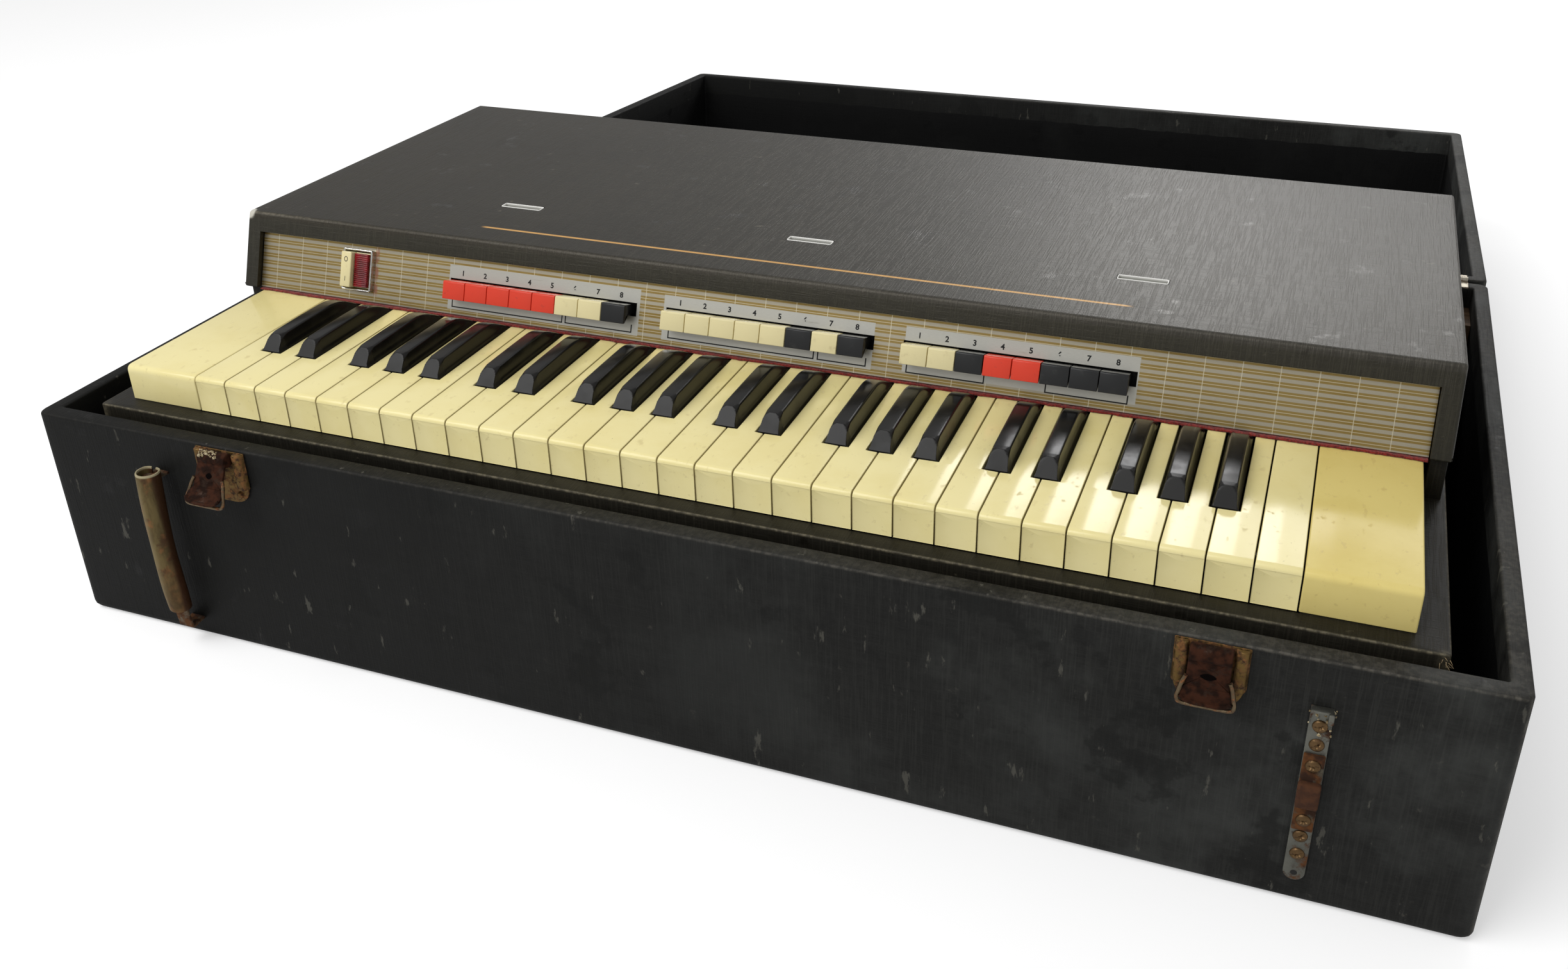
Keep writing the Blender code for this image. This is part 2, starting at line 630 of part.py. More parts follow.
def make_left_handle():
    """A strap that stands off the wall on two feet, inside a folded sheet grip."""
    top = CASE_HEIGHT - HANDLE_LEFT_DROP
    low = top - HANDLE_LEFT_LENGTH
    wall = CASE_FRONT - SEAT_GAP
    heights = [top - HANDLE_LEFT_LENGTH * step / 8 for step in range(9)]
    foot = HANDLE_STRAP_SHEET
    front = [(CASE_FRONT - bowed(z) - HANDLE_STRAP_SHEET / 2, z) for z in heights]
    back = [(y + HANDLE_STRAP_SHEET, z) for y, z in reversed(front[1:-1])]
    outline = front + [(wall, low), (wall, low + foot), (back[0][0], low + foot)] + back
    outline += [(back[-1][0], top - foot), (wall, top - foot), (wall, top)]
    half = HANDLE_STRAP_WIDTH / 2
    strap = side_solid("handle_strap_left", outline, HANDLE_LEFT_X - half, HANDLE_LEFT_X + half)
    finish(soft_shade(strap), RUSTY_STEEL, 0.6, 0.8)

    middle = top - HANDLE_SLEEVE_DROP - HANDLE_SLEEVE_LENGTH / 2
    centre = (HANDLE_LEFT_X, 0, middle)
    sleeve = rod("handle_sleeve_left", centre, "Z", HANDLE_SLEEVE_RADIUS, HANDLE_SLEEVE_LENGTH, 20)
    bore = HANDLE_SLEEVE_RADIUS - HANDLE_SLEEVE_SHEET
    slit = HANDLE_SLEEVE_SLIT / 2
    reach = HANDLE_SLEEVE_LENGTH
    cut(sleeve, rod("bore", centre, "Z", bore, 2 * reach, 20),
        box("slit", (HANDLE_LEFT_X - slit, 0, 0), (HANDLE_LEFT_X + slit, reach, reach * 2)))
    shape = bmesh.new()
    shape.from_mesh(sleeve.data)
    for step in range(1, 8):
        height = middle + HANDLE_SLEEVE_LENGTH * (step / 8 - 0.5)
        geometry = shape.verts[:] + shape.edges[:] + shape.faces[:]
        bmesh.ops.bisect_plane(shape, geom=geometry, plane_co=(0, 0, height), plane_no=(0, 0, 1))
    for vertex in shape.verts:
        vertex.co.y += CASE_FRONT - bowed(vertex.co.z)
    shape.to_mesh(sleeve.data)
    shape.free()
    finish(soft_shade(sleeve), RUSTY_STEEL, 0.7, 0.4)
    put_origin(sleeve, (HANDLE_LEFT_X, CASE_FRONT - HANDLE_STANDOFF, middle))


def make_right_handle():
    """The other strap, whose grip is lost: end plates, strap, middle block and slotted screws."""
    top = CASE_HEIGHT - HANDLE_RIGHT_DROP
    low = top - HANDLE_RIGHT_LENGTH
    half = HANDLE_STRAP_WIDTH / 2
    x = HANDLE_RIGHT_X
    wall = CASE_FRONT - SEAT_GAP
    face = wall - HANDLE_PLATE_SHEET
    outline = [(x + half, top), (x - half, top)] + arc((x, low + half), half, 180, 360, 8)
    upright = Matrix.Translation((0, (wall + face) / 2, 0)) @ Matrix.Rotation(math.pi / 2, 4, "X")
    plate = outline_solid("handle_strap_right", outline, wall - face, upright)
    strap_face = face - HANDLE_STRAP_SHEET
    strap_top = top - HANDLE_SCREW_DROPS[1] - HANDLE_SCREW_RADIUS
    strap_low = top - HANDLE_SCREW_DROPS[4] + HANDLE_SCREW_RADIUS
    overlap = HANDLE_PLATE_SHEET / 2
    strap = box("strap", (x - half, strap_face, strap_low), (x + half, face + overlap, strap_top))
    block_middle = top - (HANDLE_SCREW_DROPS[2] + HANDLE_SCREW_DROPS[3]) / 2
    reach = HANDLE_BLOCK_LENGTH / 2
    block = box("block", (x - half, strap_face - HANDLE_BLOCK_DEPTH, block_middle - reach),
                (x + half, strap_face + overlap, block_middle + reach))
    bracket = box("bracket", (x - half, face - HANDLE_BLOCK_DEPTH, top - HANDLE_PLATE_SHEET),
                  (x + half, face + overlap, top))
    weld(plate, strap, block, bracket)
    for index, drop in enumerate(HANDLE_SCREW_DROPS):
        under = strap_face if index in (2, 3) else face
        head = rod("screw", (x, under - HANDLE_SCREW_DEPTH / 2 + overlap / 2, top - drop), "Y",
                   HANDLE_SCREW_RADIUS, HANDLE_SCREW_DEPTH + overlap, 12)
        weld(plate, head)
    hole = rod("hole", (x, face, low + half), "Y", HANDLE_HOLE_RADIUS, 2 * HANDLE_STRAP_WIDTH, 12)
    cut(plate, hole)
    finish(soft_shade(plate), RUSTY_STEEL, 0.6, 0.8)


def make_base_board():
    """Board with a slip in front of the keys, a well behind it and uprights under the hood."""
    half = BOARD_WIDTH / 2
    inner = HOOD_INNER_X
    hood_half = HOOD_WIDTH / 2
    under_hood = HOOD_FOOT - SEAT_GAP
    upright_front = HOOD_FRONT_FOOT + HOOD_FOOT_RADIUS
    board = box("base_board", (-half, BOARD_FRONT, BOARD_BOTTOM), (half, HOOD_REAR, BOARD_TOP))
    rise = BOARD_TOP - WELL_DEPTH / 2
    for side in (-1, 1):
        xs = sorted((side * inner, side * hood_half))
        weld(board, box("side", (xs[0], upright_front, rise), (xs[1], HOOD_REAR - HOOD_WALL / 2, under_hood)))
    weld(board, box("back", (-hood_half, HOOD_REAR - HOOD_TOP_WALL, rise), (hood_half, HOOD_REAR, under_hood)))
    well = -FIRST_KEY + KEY_GAP
    cut(board, box("well", (-well, KEY_FRONT - SLIP_GAP, WELL_FLOOR),
                   (well, HOOD_REAR - 2 * HOOD_TOP_WALL, BOARD_TOP + WELL_DEPTH)))
    finish(board, VINYL, 0.7)


def make_cheeks():
    """The two ivory plastic blocks that close the keyboard's ends."""
    inner = -FIRST_KEY + KEY_GAP / 2
    outer = -FIRST_KEY + CHEEK_WIDTH
    low = BOARD_TOP + SEAT_GAP
    end = KEY_FRONT + CHEEK_LENGTH
    r = KEY_NOSE_RADIUS
    outline = [(KEY_FRONT, low)] + arc((KEY_FRONT + r, KEY_TOP - r), r, 180, 90, 4) + [(end, KEY_TOP), (end, low)]
    for name, side in (("cheek_left", -1), ("cheek_right", 1)):
        xs = sorted((side * inner, side * outer))
        finish(soft_shade(side_solid(name, outline, *xs)), IVORY_PLASTIC, 0.35)


def tail_outline(bar):
    """The hidden end of a key, from its body's end round the comb bar and back to the underside."""
    start = COMB_BAR_START + bar * COMB_BAR_STEP
    end = start + COMB_BAR_WIDTH
    return [(KEY_BODY_END, TAIL_TOP), (end, TAIL_TOP), (end, COMB_BAR_BOTTOM), (start, COMB_BAR_BOTTOM),
            (start, TAIL_BOTTOM), (KEY_BODY_END, TAIL_BOTTOM)]


def at_keys(points):
    """Move an outline measured from the key fronts into place."""
    return [(KEY_FRONT + y, KEY_BOTTOM + z) for y, z in points]


def natural(index, bar):
    """A white key: a rounded head with a front lip, and a body between its sharps."""
    left = index * KEY_PITCH + KEY_GAP / 2
    right = (index + 1) * KEY_PITCH - KEY_GAP / 2
    tail_left = left
    tail_right = right
    notch = SHARP_WIDTH / 2 + SHARP_CLEARANCE
    octave = index // 7
    for centre in SHARP_CENTRES:
        middle = (octave * 7 + centre) * KEY_PITCH
        if octave == OCTAVES:
            continue
        if left < middle + notch < right:
            tail_left = middle + notch
        if left < middle - notch < right:
            tail_right = middle - notch
    r = KEY_NOSE_RADIUS
    nose = arc((r, KEY_HEIGHT - r), r, 180, 90, 3)
    head = [(0, 0)] + nose + [(KEY_HEAD, KEY_HEIGHT), (KEY_HEAD, KEY_UNDERSIDE), (KEY_LIP, KEY_UNDERSIDE),
                              (KEY_LIP, 0)]
    overlap = KEY_HEAD - 2 * KEY_LIP
    body = [(overlap, KEY_UNDERSIDE), (overlap, KEY_HEIGHT), (KEY_BODY_END, KEY_HEIGHT)]
    body += tail_outline(bar) + [(KEY_BODY_END, KEY_UNDERSIDE)]
    key = side_solid("key", at_keys(head), FIRST_KEY + left, FIRST_KEY + right)
    return weld(key, side_solid("body", at_keys(body), FIRST_KEY + tail_left, FIRST_KEY + tail_right))


def sharp(octave, centre, bar):
    """A black key: straight sides below the whites' tops, tapering sides above them."""
    middle = FIRST_KEY + (octave * 7 + centre) * KEY_PITCH
    half = SHARP_WIDTH / 2
    crest = KEY_HEIGHT + SHARP_RISE
    sink = KEY_HEIGHT - KEY_GAP
    body = [(SHARP_START, KEY_UNDERSIDE), (SHARP_START, sink), (KEY_BODY_END, sink)]
    body += tail_outline(bar) + [(KEY_BODY_END, KEY_UNDERSIDE)]
    lower = side_solid("key", at_keys(body), middle - half, middle + half)
    foot = SHARP_START + KEY_GAP / 4
    mid_y = (SHARP_CREST_END + SHARP_TAIL_END) / 2
    slope = [(mid_y + KEY_GAP, KEY_HEIGHT + SHARP_RISE * 2 / 3),
             (SHARP_TAIL_END - KEY_GAP, KEY_HEIGHT + SHARP_RISE / 3)]
    top = [(foot, sink - KEY_GAP), (foot, KEY_HEIGHT), (foot + SHARP_FRONT_LEAN, crest), (SHARP_CREST_END, crest)]
    top += slope + [(SHARP_TAIL_END, KEY_HEIGHT), (SHARP_TAIL_END, sink - KEY_GAP)]
    inset = KEY_GAP / 8
    upper = side_solid("crest", at_keys(top), middle - half + inset, middle + half - inset)
    for vertex in upper.data.vertices:
        rise = max(0.0, vertex.co.z - KEY_TOP) / SHARP_RISE
        width = SHARP_WIDTH / 2 - inset - rise * (SHARP_WIDTH - SHARP_TOP_WIDTH) / 2
        vertex.co.x = middle + math.copysign(width, vertex.co.x - middle)
    return weld(lower, upper)


def comb(name, keys, bar):
    """Join the keys of one comb by the bar behind their pivots."""
    piece = keys[0]
    piece.name = name
    if len(keys) > 1:
        lows = [min(vertex.co.x for vertex in key.data.vertices if vertex.co.y > PIVOT.y) for key in keys]
        highs = [max(vertex.co.x for vertex in key.data.vertices if vertex.co.y > PIVOT.y) for key in keys]
        start = KEY_FRONT + COMB_BAR_START + bar * COMB_BAR_STEP
        inset = KEY_GAP / 8
        bar_piece = box("bar", (min(lows) + inset, start + inset, KEY_BOTTOM + COMB_BAR_BOTTOM + inset),
                        (max(highs) - inset, start + COMB_BAR_WIDTH - inset, KEY_BOTTOM + COMB_BAR_TOP))
        weld(piece, *keys[1:], bar_piece)
    return put_origin(piece, PIVOT)


def make_keys():
    """Three combs to an octave, and the top C by itself."""
    for octave in range(OCTAVES):
        first = octave * 7
        label = "keys_%d_" % (octave + 1)
        outer = comb(label + "c_e_g_b", [natural(first + step, 0) for step in (0, 2, 4, 6)], 0)
        finish(soft_shade(outer), IVORY_PLASTIC, 0.3)
        inner = comb(label + "d_f_a", [natural(first + step, 1) for step in (1, 3, 5)], 1)
        finish(soft_shade(inner), IVORY_PLASTIC, 0.3)
        black = comb(label + "sharps", [sharp(octave, centre, 2) for centre in SHARP_CENTRES], 2)
        finish(soft_shade(black), BLACK_PLASTIC, 0.25)
    finish(soft_shade(comb("key_top_c", [natural(NATURALS - 1, 0)], 0)), IVORY_PLASTIC, 0.3)


def make_hood():
    """The vinyl covered cover: a leaning front with a long window, a top, sides and a back."""
    half = HOOD_WIDTH / 2
    slope = math.tan(HOOD_LEAN)
    top = KEY_BOTTOM + HOOD_TOP
    back_top = KEY_BOTTOM + HOOD_BACK_TOP
    foot = HOOD_FRONT_FOOT
    shoulder = foot + (top - HOOD_FOOT) * slope
    r = HOOD_FOOT_RADIUS
    e = HOOD_EDGE_RADIUS
    outline = [(foot + r, HOOD_FOOT), (foot + r / 3, HOOD_FOOT + r / 4), (foot + r * slope, HOOD_FOOT + r)]
    outline += [(shoulder - e * slope, top - e), (shoulder + e / 3, top - e / 3), (shoulder + e, top)]
    outline += [(HOOD_REAR - e, back_top), (HOOD_REAR, back_top - e), (HOOD_REAR, HOOD_FOOT)]
    hood = side_solid("hood", outline, -half, half)
    corner = HOOD_REAR - 2 * e

    def back_corner(middle, direction):
        return abs(direction.z) > 0.9 and middle.y > corner

    round_edges(hood, HOOD_CORNER_RADIUS, 4, back_corner)
    drop = HOOD_WALL
    lip = HOOD_LIP / math.cos(HOOD_LEAN)
    ceiling = HOOD_TOP_WALL
    inner_top = top - ceiling
    inside = [(foot + lip - drop * slope, HOOD_FOOT - drop),
              (foot + lip + (inner_top - HOOD_FOOT) * slope, inner_top),
              (HOOD_REAR - ceiling, back_top - ceiling), (HOOD_REAR - ceiling, HOOD_FOOT - drop)]
    window_top = top - HOOD_LIP_HEIGHT
    ahead = foot - drop
    deep = foot + (window_top - HOOD_FOOT) * slope + 2 * lip
    window = [(ahead, HOOD_FOOT - drop), (ahead, window_top), (deep, window_top), (deep, HOOD_FOOT - drop)]
    cut(hood, side_solid("inside", inside, -HOOD_INNER_X, HOOD_INNER_X),
        side_solid("window", window, -HOOD_INNER_X + SEAT_GAP / 3, HOOD_INNER_X - SEAT_GAP / 3))
    for x in socket_places():
        hole_x = STAND_SOCKET_LENGTH / 2 + SEAT_GAP
        hole_y = STAND_SOCKET_WIDTH / 2 + SEAT_GAP
        y = KEY_FRONT + STAND_SOCKET_BACK
        cut(hood, box("hole", (x - hole_x, y - hole_y, inner_top - ceiling), (x + hole_x, y + hole_y, top + ceiling)))
    finish(soft_shade(hood), VINYL, 0.6)


def socket_places():
    """Where the three music stand sockets lie along X."""
    return (-STAND_SOCKET_SPACING, 0.0, STAND_SOCKET_SPACING)


def make_stand_sockets():
    """Three pressed metal sleeves let into the hood for a wire music stand."""
    y = KEY_FRONT + STAND_SOCKET_BACK
    share = (STAND_SOCKET_BACK - HOOD_SHOULDER) / (HOOD_REAR - KEY_FRONT - HOOD_SHOULDER)
    top = KEY_BOTTOM + HOOD_TOP - (HOOD_TOP - HOOD_BACK_TOP) * share - SEAT_GAP
    low = top - STAND_SOCKET_DEPTH
    for name, x in zip(("left", "middle", "right"), socket_places()):
        a = STAND_SOCKET_LENGTH / 2
        b = STAND_SOCKET_WIDTH / 2
        socket = box("stand_socket_" + name, (x - a, y - b, low), (x + a, y + b, top))
        a -= STAND_SOCKET_WALL
        b -= STAND_SOCKET_WALL
        cut(socket, box("hollow", (x - a, y - b, low - b), (x + a, y + b, top + b)))
        finish(socket, STEEL, 0.4, 1.0)


def panel_box(name, x_low, x_high, depth_low, depth_high, s_low, s_high):
    """A block on the leaning panel: x from the first key, depth inwards, s up the slope."""
    return box(name, (FIRST_KEY + x_low, depth_low, s_low), (FIRST_KEY + x_high, depth_high, s_high))


def seat_on_panel(piece, frame, axis=None):
    """Hang a piece on the panel's empty, with its origin on an axis if it turns."""
    if axis is not None:
        put_origin(piece, axis)
    piece.parent = frame
    return piece


def make_panel(frame):
    """The aluminium plate with three tab slots and the rocker's hole, and the felt below."""
    half = HOOD_INNER_X - PANEL_EDGE_GAP
    plate = box("control_panel", (-half, 0, 0), (half, PANEL_SHEET, PANEL_HEIGHT))
    for start in TAB_BANK_STARTS:
        end = start + 8 * TAB_PITCH
        cut(plate, panel_box("slot", start - SLOT_MARGIN, end + SLOT_END_MARGIN, -PANEL_SHEET, 2 * PANEL_SHEET,
                             SLOT_BOTTOM, SLOT_TOP))
    inset = BEZEL_BORDER
    cut(plate, panel_box("rocker_hole", BEZEL_X + inset, BEZEL_X + BEZEL_WIDTH - inset, -PANEL_SHEET,
                         2 * PANEL_SHEET, BEZEL_S + inset, BEZEL_S + BEZEL_HEIGHT - inset))
    finish(seat_on_panel(plate, frame), ALUMINIUM, 0.35, 0.8)
    low = KEY_TOP + SEAT_GAP
    felt = box("felt_strip", (-half, PANEL_FOOT_Y - FELT_HEIGHT, low),
               (half, PANEL_FOOT_Y - FELT_HEIGHT + FELT_WIDTH, low + FELT_HEIGHT))
    finish(felt, (0.25, 0.02, 0.015), 0.95)


def make_rocker(frame):
    """The mains rocker: a chrome frame, a paddle with a cream fin, and a ribbed red lens."""
    x_low = BEZEL_X
    x_high = BEZEL_X + BEZEL_WIDTH
    s_low = BEZEL_S
    s_high = BEZEL_S + BEZEL_HEIGHT
    inset = BEZEL_BORDER
    bezel = panel_box("rocker_bezel", x_low, x_high, -BEZEL_DEPTH - SEAT_GAP, -SEAT_GAP, s_low, s_high)
    cut(bezel, panel_box("opening", x_low + inset, x_high - inset, -2 * BEZEL_DEPTH, BEZEL_DEPTH,
                         s_low + inset, s_high - inset))
    finish(seat_on_panel(bezel, frame), STEEL, 0.2, 1.0)

    side = inset + SEAT_GAP
    end = inset + ROCKER_CLEARANCE
    axis = (FIRST_KEY + (x_low + x_high) / 2, ROCKER_AXIS_DEPTH, (s_low + s_high) / 2)
    paddle = panel_box("rocker_switch", x_low + side, x_high - side, -ROCKER_FACE, ROCKER_DEPTH - ROCKER_FACE,
                       s_low + end, s_high - end)
    nudge = SEAT_GAP / 3
    fin = panel_box("fin", x_low + side + nudge, x_low + side + ROCKER_FIN_WIDTH, -ROCKER_FIN_HEIGHT, 0,
                    s_low + end + nudge, s_high - end - nudge)
    weld(paddle, fin)
    finish(seat_on_panel(paddle, frame, axis), CREAM_PLASTIC, 0.35)

    lens = panel_box("rocker_lens", x_low + side + ROCKER_FIN_WIDTH + SEAT_GAP, x_high - side - LENS_MARGIN,
                     -ROCKER_FACE - SEAT_GAP - LENS_HEIGHT, -ROCKER_FACE - SEAT_GAP,
                     s_low + end + LENS_MARGIN, s_high - end - LENS_MARGIN)
    finish(seat_on_panel(lens, frame, axis), (0.30, 0.005, 0.01), 0.2)


def tab_outline():
    """A tab seen from its side: depth inwards, s up the slope, with a round root on its axis."""
    root = arc((TAB_AXIS_DEPTH, TAB_AXIS_S), TAB_ROOT_RADIUS, 90, -90, 6)
    return [(-TAB_REACH, TAB_FACE_BOTTOM), (0, TAB_NECK_BOTTOM)] + list(reversed(root)) + [
        (0, TAB_NECK_TOP), (-TAB_REACH + TAB_TOP_BEVEL, TAB_FACE_TOP + TAB_TOP_BEVEL), (-TAB_REACH, TAB_FACE_TOP)]


def make_tabs(frame):
    """Each run of like coloured tabs on its own bar, which rocks behind the panel."""
    colours = {"R": ("red", RED_PLASTIC), "C": ("cream", CREAM_PLASTIC), "K": ("black", BLACK_PLASTIC)}
    for bank, start, letters in zip(("low", "middle", "high"), TAB_BANK_STARTS, TAB_COLOURS):
        place = 0
        seen = {}
        for letter, same in itertools.groupby(letters):
            count = len(list(same))
            seen[letter] = seen.get(letter, 0) + 1
            name = "tabs_%s_%s_%d" % (bank, colours[letter][0], seen[letter])
            left = FIRST_KEY + start + place * TAB_PITCH
            tabs = []
            for step in range(count):
                low = left + step * TAB_PITCH
                tabs.append(side_solid(name, tab_outline(), low, low + TAB_PITCH - TAB_GAP))
            bar_half = TAB_ROOT_RADIUS / 2
            inset = SEAT_GAP / 3
            if count > 1:
                tabs.append(box("bar", (left + inset, TAB_AXIS_DEPTH - bar_half, TAB_AXIS_S - bar_half),
                                (left + count * TAB_PITCH - TAB_GAP - inset, TAB_AXIS_DEPTH + bar_half,
                                 TAB_AXIS_S + bar_half)))
            run = weld(tabs[0], *tabs[1:])
            run.name = name
            middle = left + (count * TAB_PITCH - TAB_GAP) / 2
            seat_on_panel(run, frame, (middle, TAB_AXIS_DEPTH, TAB_AXIS_S))
            finish(soft_shade(run), colours[letter][1], 0.35)
            place += count


def make_tab_rail(frame):
    """The steel channel behind the panel that the tabs rock in."""
    low = TAB_BANK_STARTS[0] - RAIL_OVERHANG
    high = TAB_BANK_STARTS[-1] + 8 * TAB_PITCH + RAIL_OVERHANG
    face = TAB_AXIS_DEPTH + TAB_ROOT_RADIUS + SEAT_GAP
    rail = panel_box("tab_rail", low, high, face, face + RAIL_SHEET, RAIL_BOTTOM, RAIL_TOP)
    nudge = SEAT_GAP / 3
    for x in (low, high - RAIL_SHEET):
        weld(rail, panel_box("end", x + nudge, x + RAIL_SHEET - nudge, PANEL_SHEET + SEAT_GAP, face + RAIL_SHEET / 2,
                             RAIL_BOTTOM + nudge, RAIL_TOP - nudge))
    finish(seat_on_panel(rail, frame), STEEL, 0.4, 1.0)


def make_key_frame():
    """The folded steel frame that carries the keys' pivots and their stop rail."""
    half = -FIRST_KEY
    low = WELL_FLOOR + SEAT_GAP
    plate = low + KEY_FRAME_SHEET
    front = KEY_FRONT + KEY_FRAME_FRONT
    rail = PIVOT.y - KEY_FRAME_RAIL / 2
    rail_top = PIVOT.z - SEAT_GAP
    stop_top = low + KEY_FRAME_STOP_HEIGHT
    outline = [(front, low), (front, stop_top), (front + KEY_FRAME_RAIL, stop_top), (front + KEY_FRAME_RAIL, plate),
               (rail, plate), (rail, rail_top), (rail + KEY_FRAME_RAIL, rail_top), (rail + KEY_FRAME_RAIL, low)]
    finish(side_solid("key_frame", outline, -half, half), STEEL, 0.4, 1.0)
    return plate


def make_contact_board(plate):
    """The long board under the keys with the ridge that holds their contact springs."""
    half = CONTACT_BOARD_LENGTH / 2
    low = plate + SEAT_GAP
    start = KEY_FRONT + CONTACT_BOARD_START
    end = start + CONTACT_BOARD_WIDTH
    middle = (start + end) / 2
    top = low + BOARD_SHEET
    ridge = CONTACT_RIDGE_WIDTH / 2
    outline = [(start, low), (start, top), (middle - ridge, top), (middle - ridge, top + CONTACT_RIDGE_HEIGHT),
               (middle + ridge, top + CONTACT_RIDGE_HEIGHT), (middle + ridge, top), (end, top), (end, low)]
    finish(side_solid("contact_board", outline, -half, half), CIRCUIT_BOARD, 0.5)


def make_generator_board():
    """The tone generator: a board on four posts with a row of coil cans, one for each note."""
    low = WELL_FLOOR + SEAT_GAP
    x = FIRST_KEY + GENERATOR_X
    y = KEY_FRONT + GENERATOR_Y
    under = low + GENERATOR_POST
    top = under + BOARD_SHEET
    board = box("generator_board", (x, y, under), (x + GENERATOR_LENGTH, y + GENERATOR_WIDTH, top))
    inset = 2 * GENERATOR_POST_RADIUS
    post_height = GENERATOR_POST + BOARD_SHEET / 2
    for post_x in (x + inset, x + GENERATOR_LENGTH - inset):
        for post_y in (y + inset, y + GENERATOR_WIDTH - inset):
            weld(board, rod("post", (post_x, post_y, low + post_height / 2), "Z", GENERATOR_POST_RADIUS,
                            post_height, 8))
    can_height = GENERATOR_CAN_HEIGHT + BOARD_SHEET / 2
    for index in range(GENERATOR_CANS):
        can_x = x + GENERATOR_LENGTH * (index + 0.5) / GENERATOR_CANS
        centre = (can_x, y + GENERATOR_WIDTH / 2, top - BOARD_SHEET / 2 + can_height / 2)
        weld(board, rod("can", centre, "Z", GENERATOR_CAN_RADIUS, can_height, 10))
    finish(board, CIRCUIT_BOARD, 0.5)


def make_reverb_tank():
    """The steel tray that holds the reverb springs, screwed down by a flange at each end."""
    low = WELL_FLOOR + SEAT_GAP
    x = FIRST_KEY + REVERB_X
    y = KEY_FRONT + REVERB_Y
    tank = box("reverb_tank", (x, y, low), (x + REVERB_LENGTH, y + REVERB_WIDTH, low + REVERB_HEIGHT))
    inset = REVERB_FLANGE / 2
    weld(tank, box("flange", (x - REVERB_FLANGE, y + inset, low + SEAT_GAP / 3),
                   (x + REVERB_LENGTH + REVERB_FLANGE, y + REVERB_WIDTH - inset, low + REVERB_SHEET)))
    cut(tank, box("hollow", (x + REVERB_SHEET, y + REVERB_SHEET, low - REVERB_SHEET),
                  (x + REVERB_LENGTH - REVERB_SHEET, y + REVERB_WIDTH - REVERB_SHEET,
                   low + REVERB_HEIGHT - REVERB_SHEET)))
    finish(tank, STEEL, 0.4, 1.0)


def make_transformer():
    """The mains transformer: a laminated core round its winding, on a foot plate."""
    low = WELL_FLOOR + SEAT_GAP
    x = FIRST_KEY + TRANSFORMER_X
    y = KEY_FRONT + TRANSFORMER_Y

    def block(name, size, base):
        return box(name, (x - size[0] / 2, y - size[1] / 2, base), (x + size[0] / 2, y + size[1] / 2, base + size[2]))

    core = block("power_transformer", TRANSFORMER_CORE, low + SEAT_GAP)
    coil_base = low + (TRANSFORMER_CORE[2] - TRANSFORMER_COIL[2]) / 2
    weld(core, block("foot", TRANSFORMER_FOOT, low), block("coil", TRANSFORMER_COIL, coil_base))
    finish(core, (0.12, 0.11, 0.10), 0.6, 0.5)


def make_connector_panel():
    """The plate on the hood's back with the mains inlet, the output jack and the pedal jack."""
    wall = HOOD_REAR + SEAT_GAP
    x = FIRST_KEY + CONNECTOR_X
    top = KEY_BOTTOM + HOOD_BACK_TOP - CONNECTOR_DROP
    low = top - CONNECTOR_HEIGHT
    middle = (top + low) / 2
    face = wall + PANEL_SHEET
    plate = box("connector_panel", (x - CONNECTOR_LENGTH / 2, wall, low), (x + CONNECTOR_LENGTH / 2, face, top))
    wide, deep, tall = CONNECTOR_INLET
    inlet_x = x - CONNECTOR_LENGTH / 4
    sunk = PANEL_SHEET / 2
    weld(plate, box("inlet", (inlet_x - wide / 2, face - sunk, middle - tall / 2),
                    (inlet_x + wide / 2, face + deep, middle + tall / 2)))
    for step in CONNECTOR_JACK_PLACES:
        centre = (x + step, face + (CONNECTOR_JACK_DEPTH - sunk) / 2, middle)
        weld(plate, rod("jack", centre, "Y", CONNECTOR_JACK_RADIUS, CONNECTOR_JACK_DEPTH + sunk, 12))
    finish(plate, STEEL, 0.4, 1.0)


make_case()
make_lid()
make_latches()
make_left_handle()
make_right_handle()
make_base_board()
make_cheeks()
make_keys()
make_hood()
make_stand_sockets()
PANEL_FRAME = make_empty("panel_frame", PANEL_TURN)
make_panel(PANEL_FRAME)
make_rocker(PANEL_FRAME)
make_tab_rail(PANEL_FRAME)
make_tabs(PANEL_FRAME)
make_contact_board(make_key_frame())
make_generator_board()
make_reverb_tank()
make_transformer()
make_connector_panel()
bpy.context.view_layer.update()
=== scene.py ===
"""The looks of a combo organ that sits in its open carrying case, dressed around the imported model.

The sections follow the organ as it is put together: the studio, the case and its lid, the case's
hardware, the organ's base and keys, the hood, the panel with its switches, and what lies inside.
Everything is in metres.
"""
import math

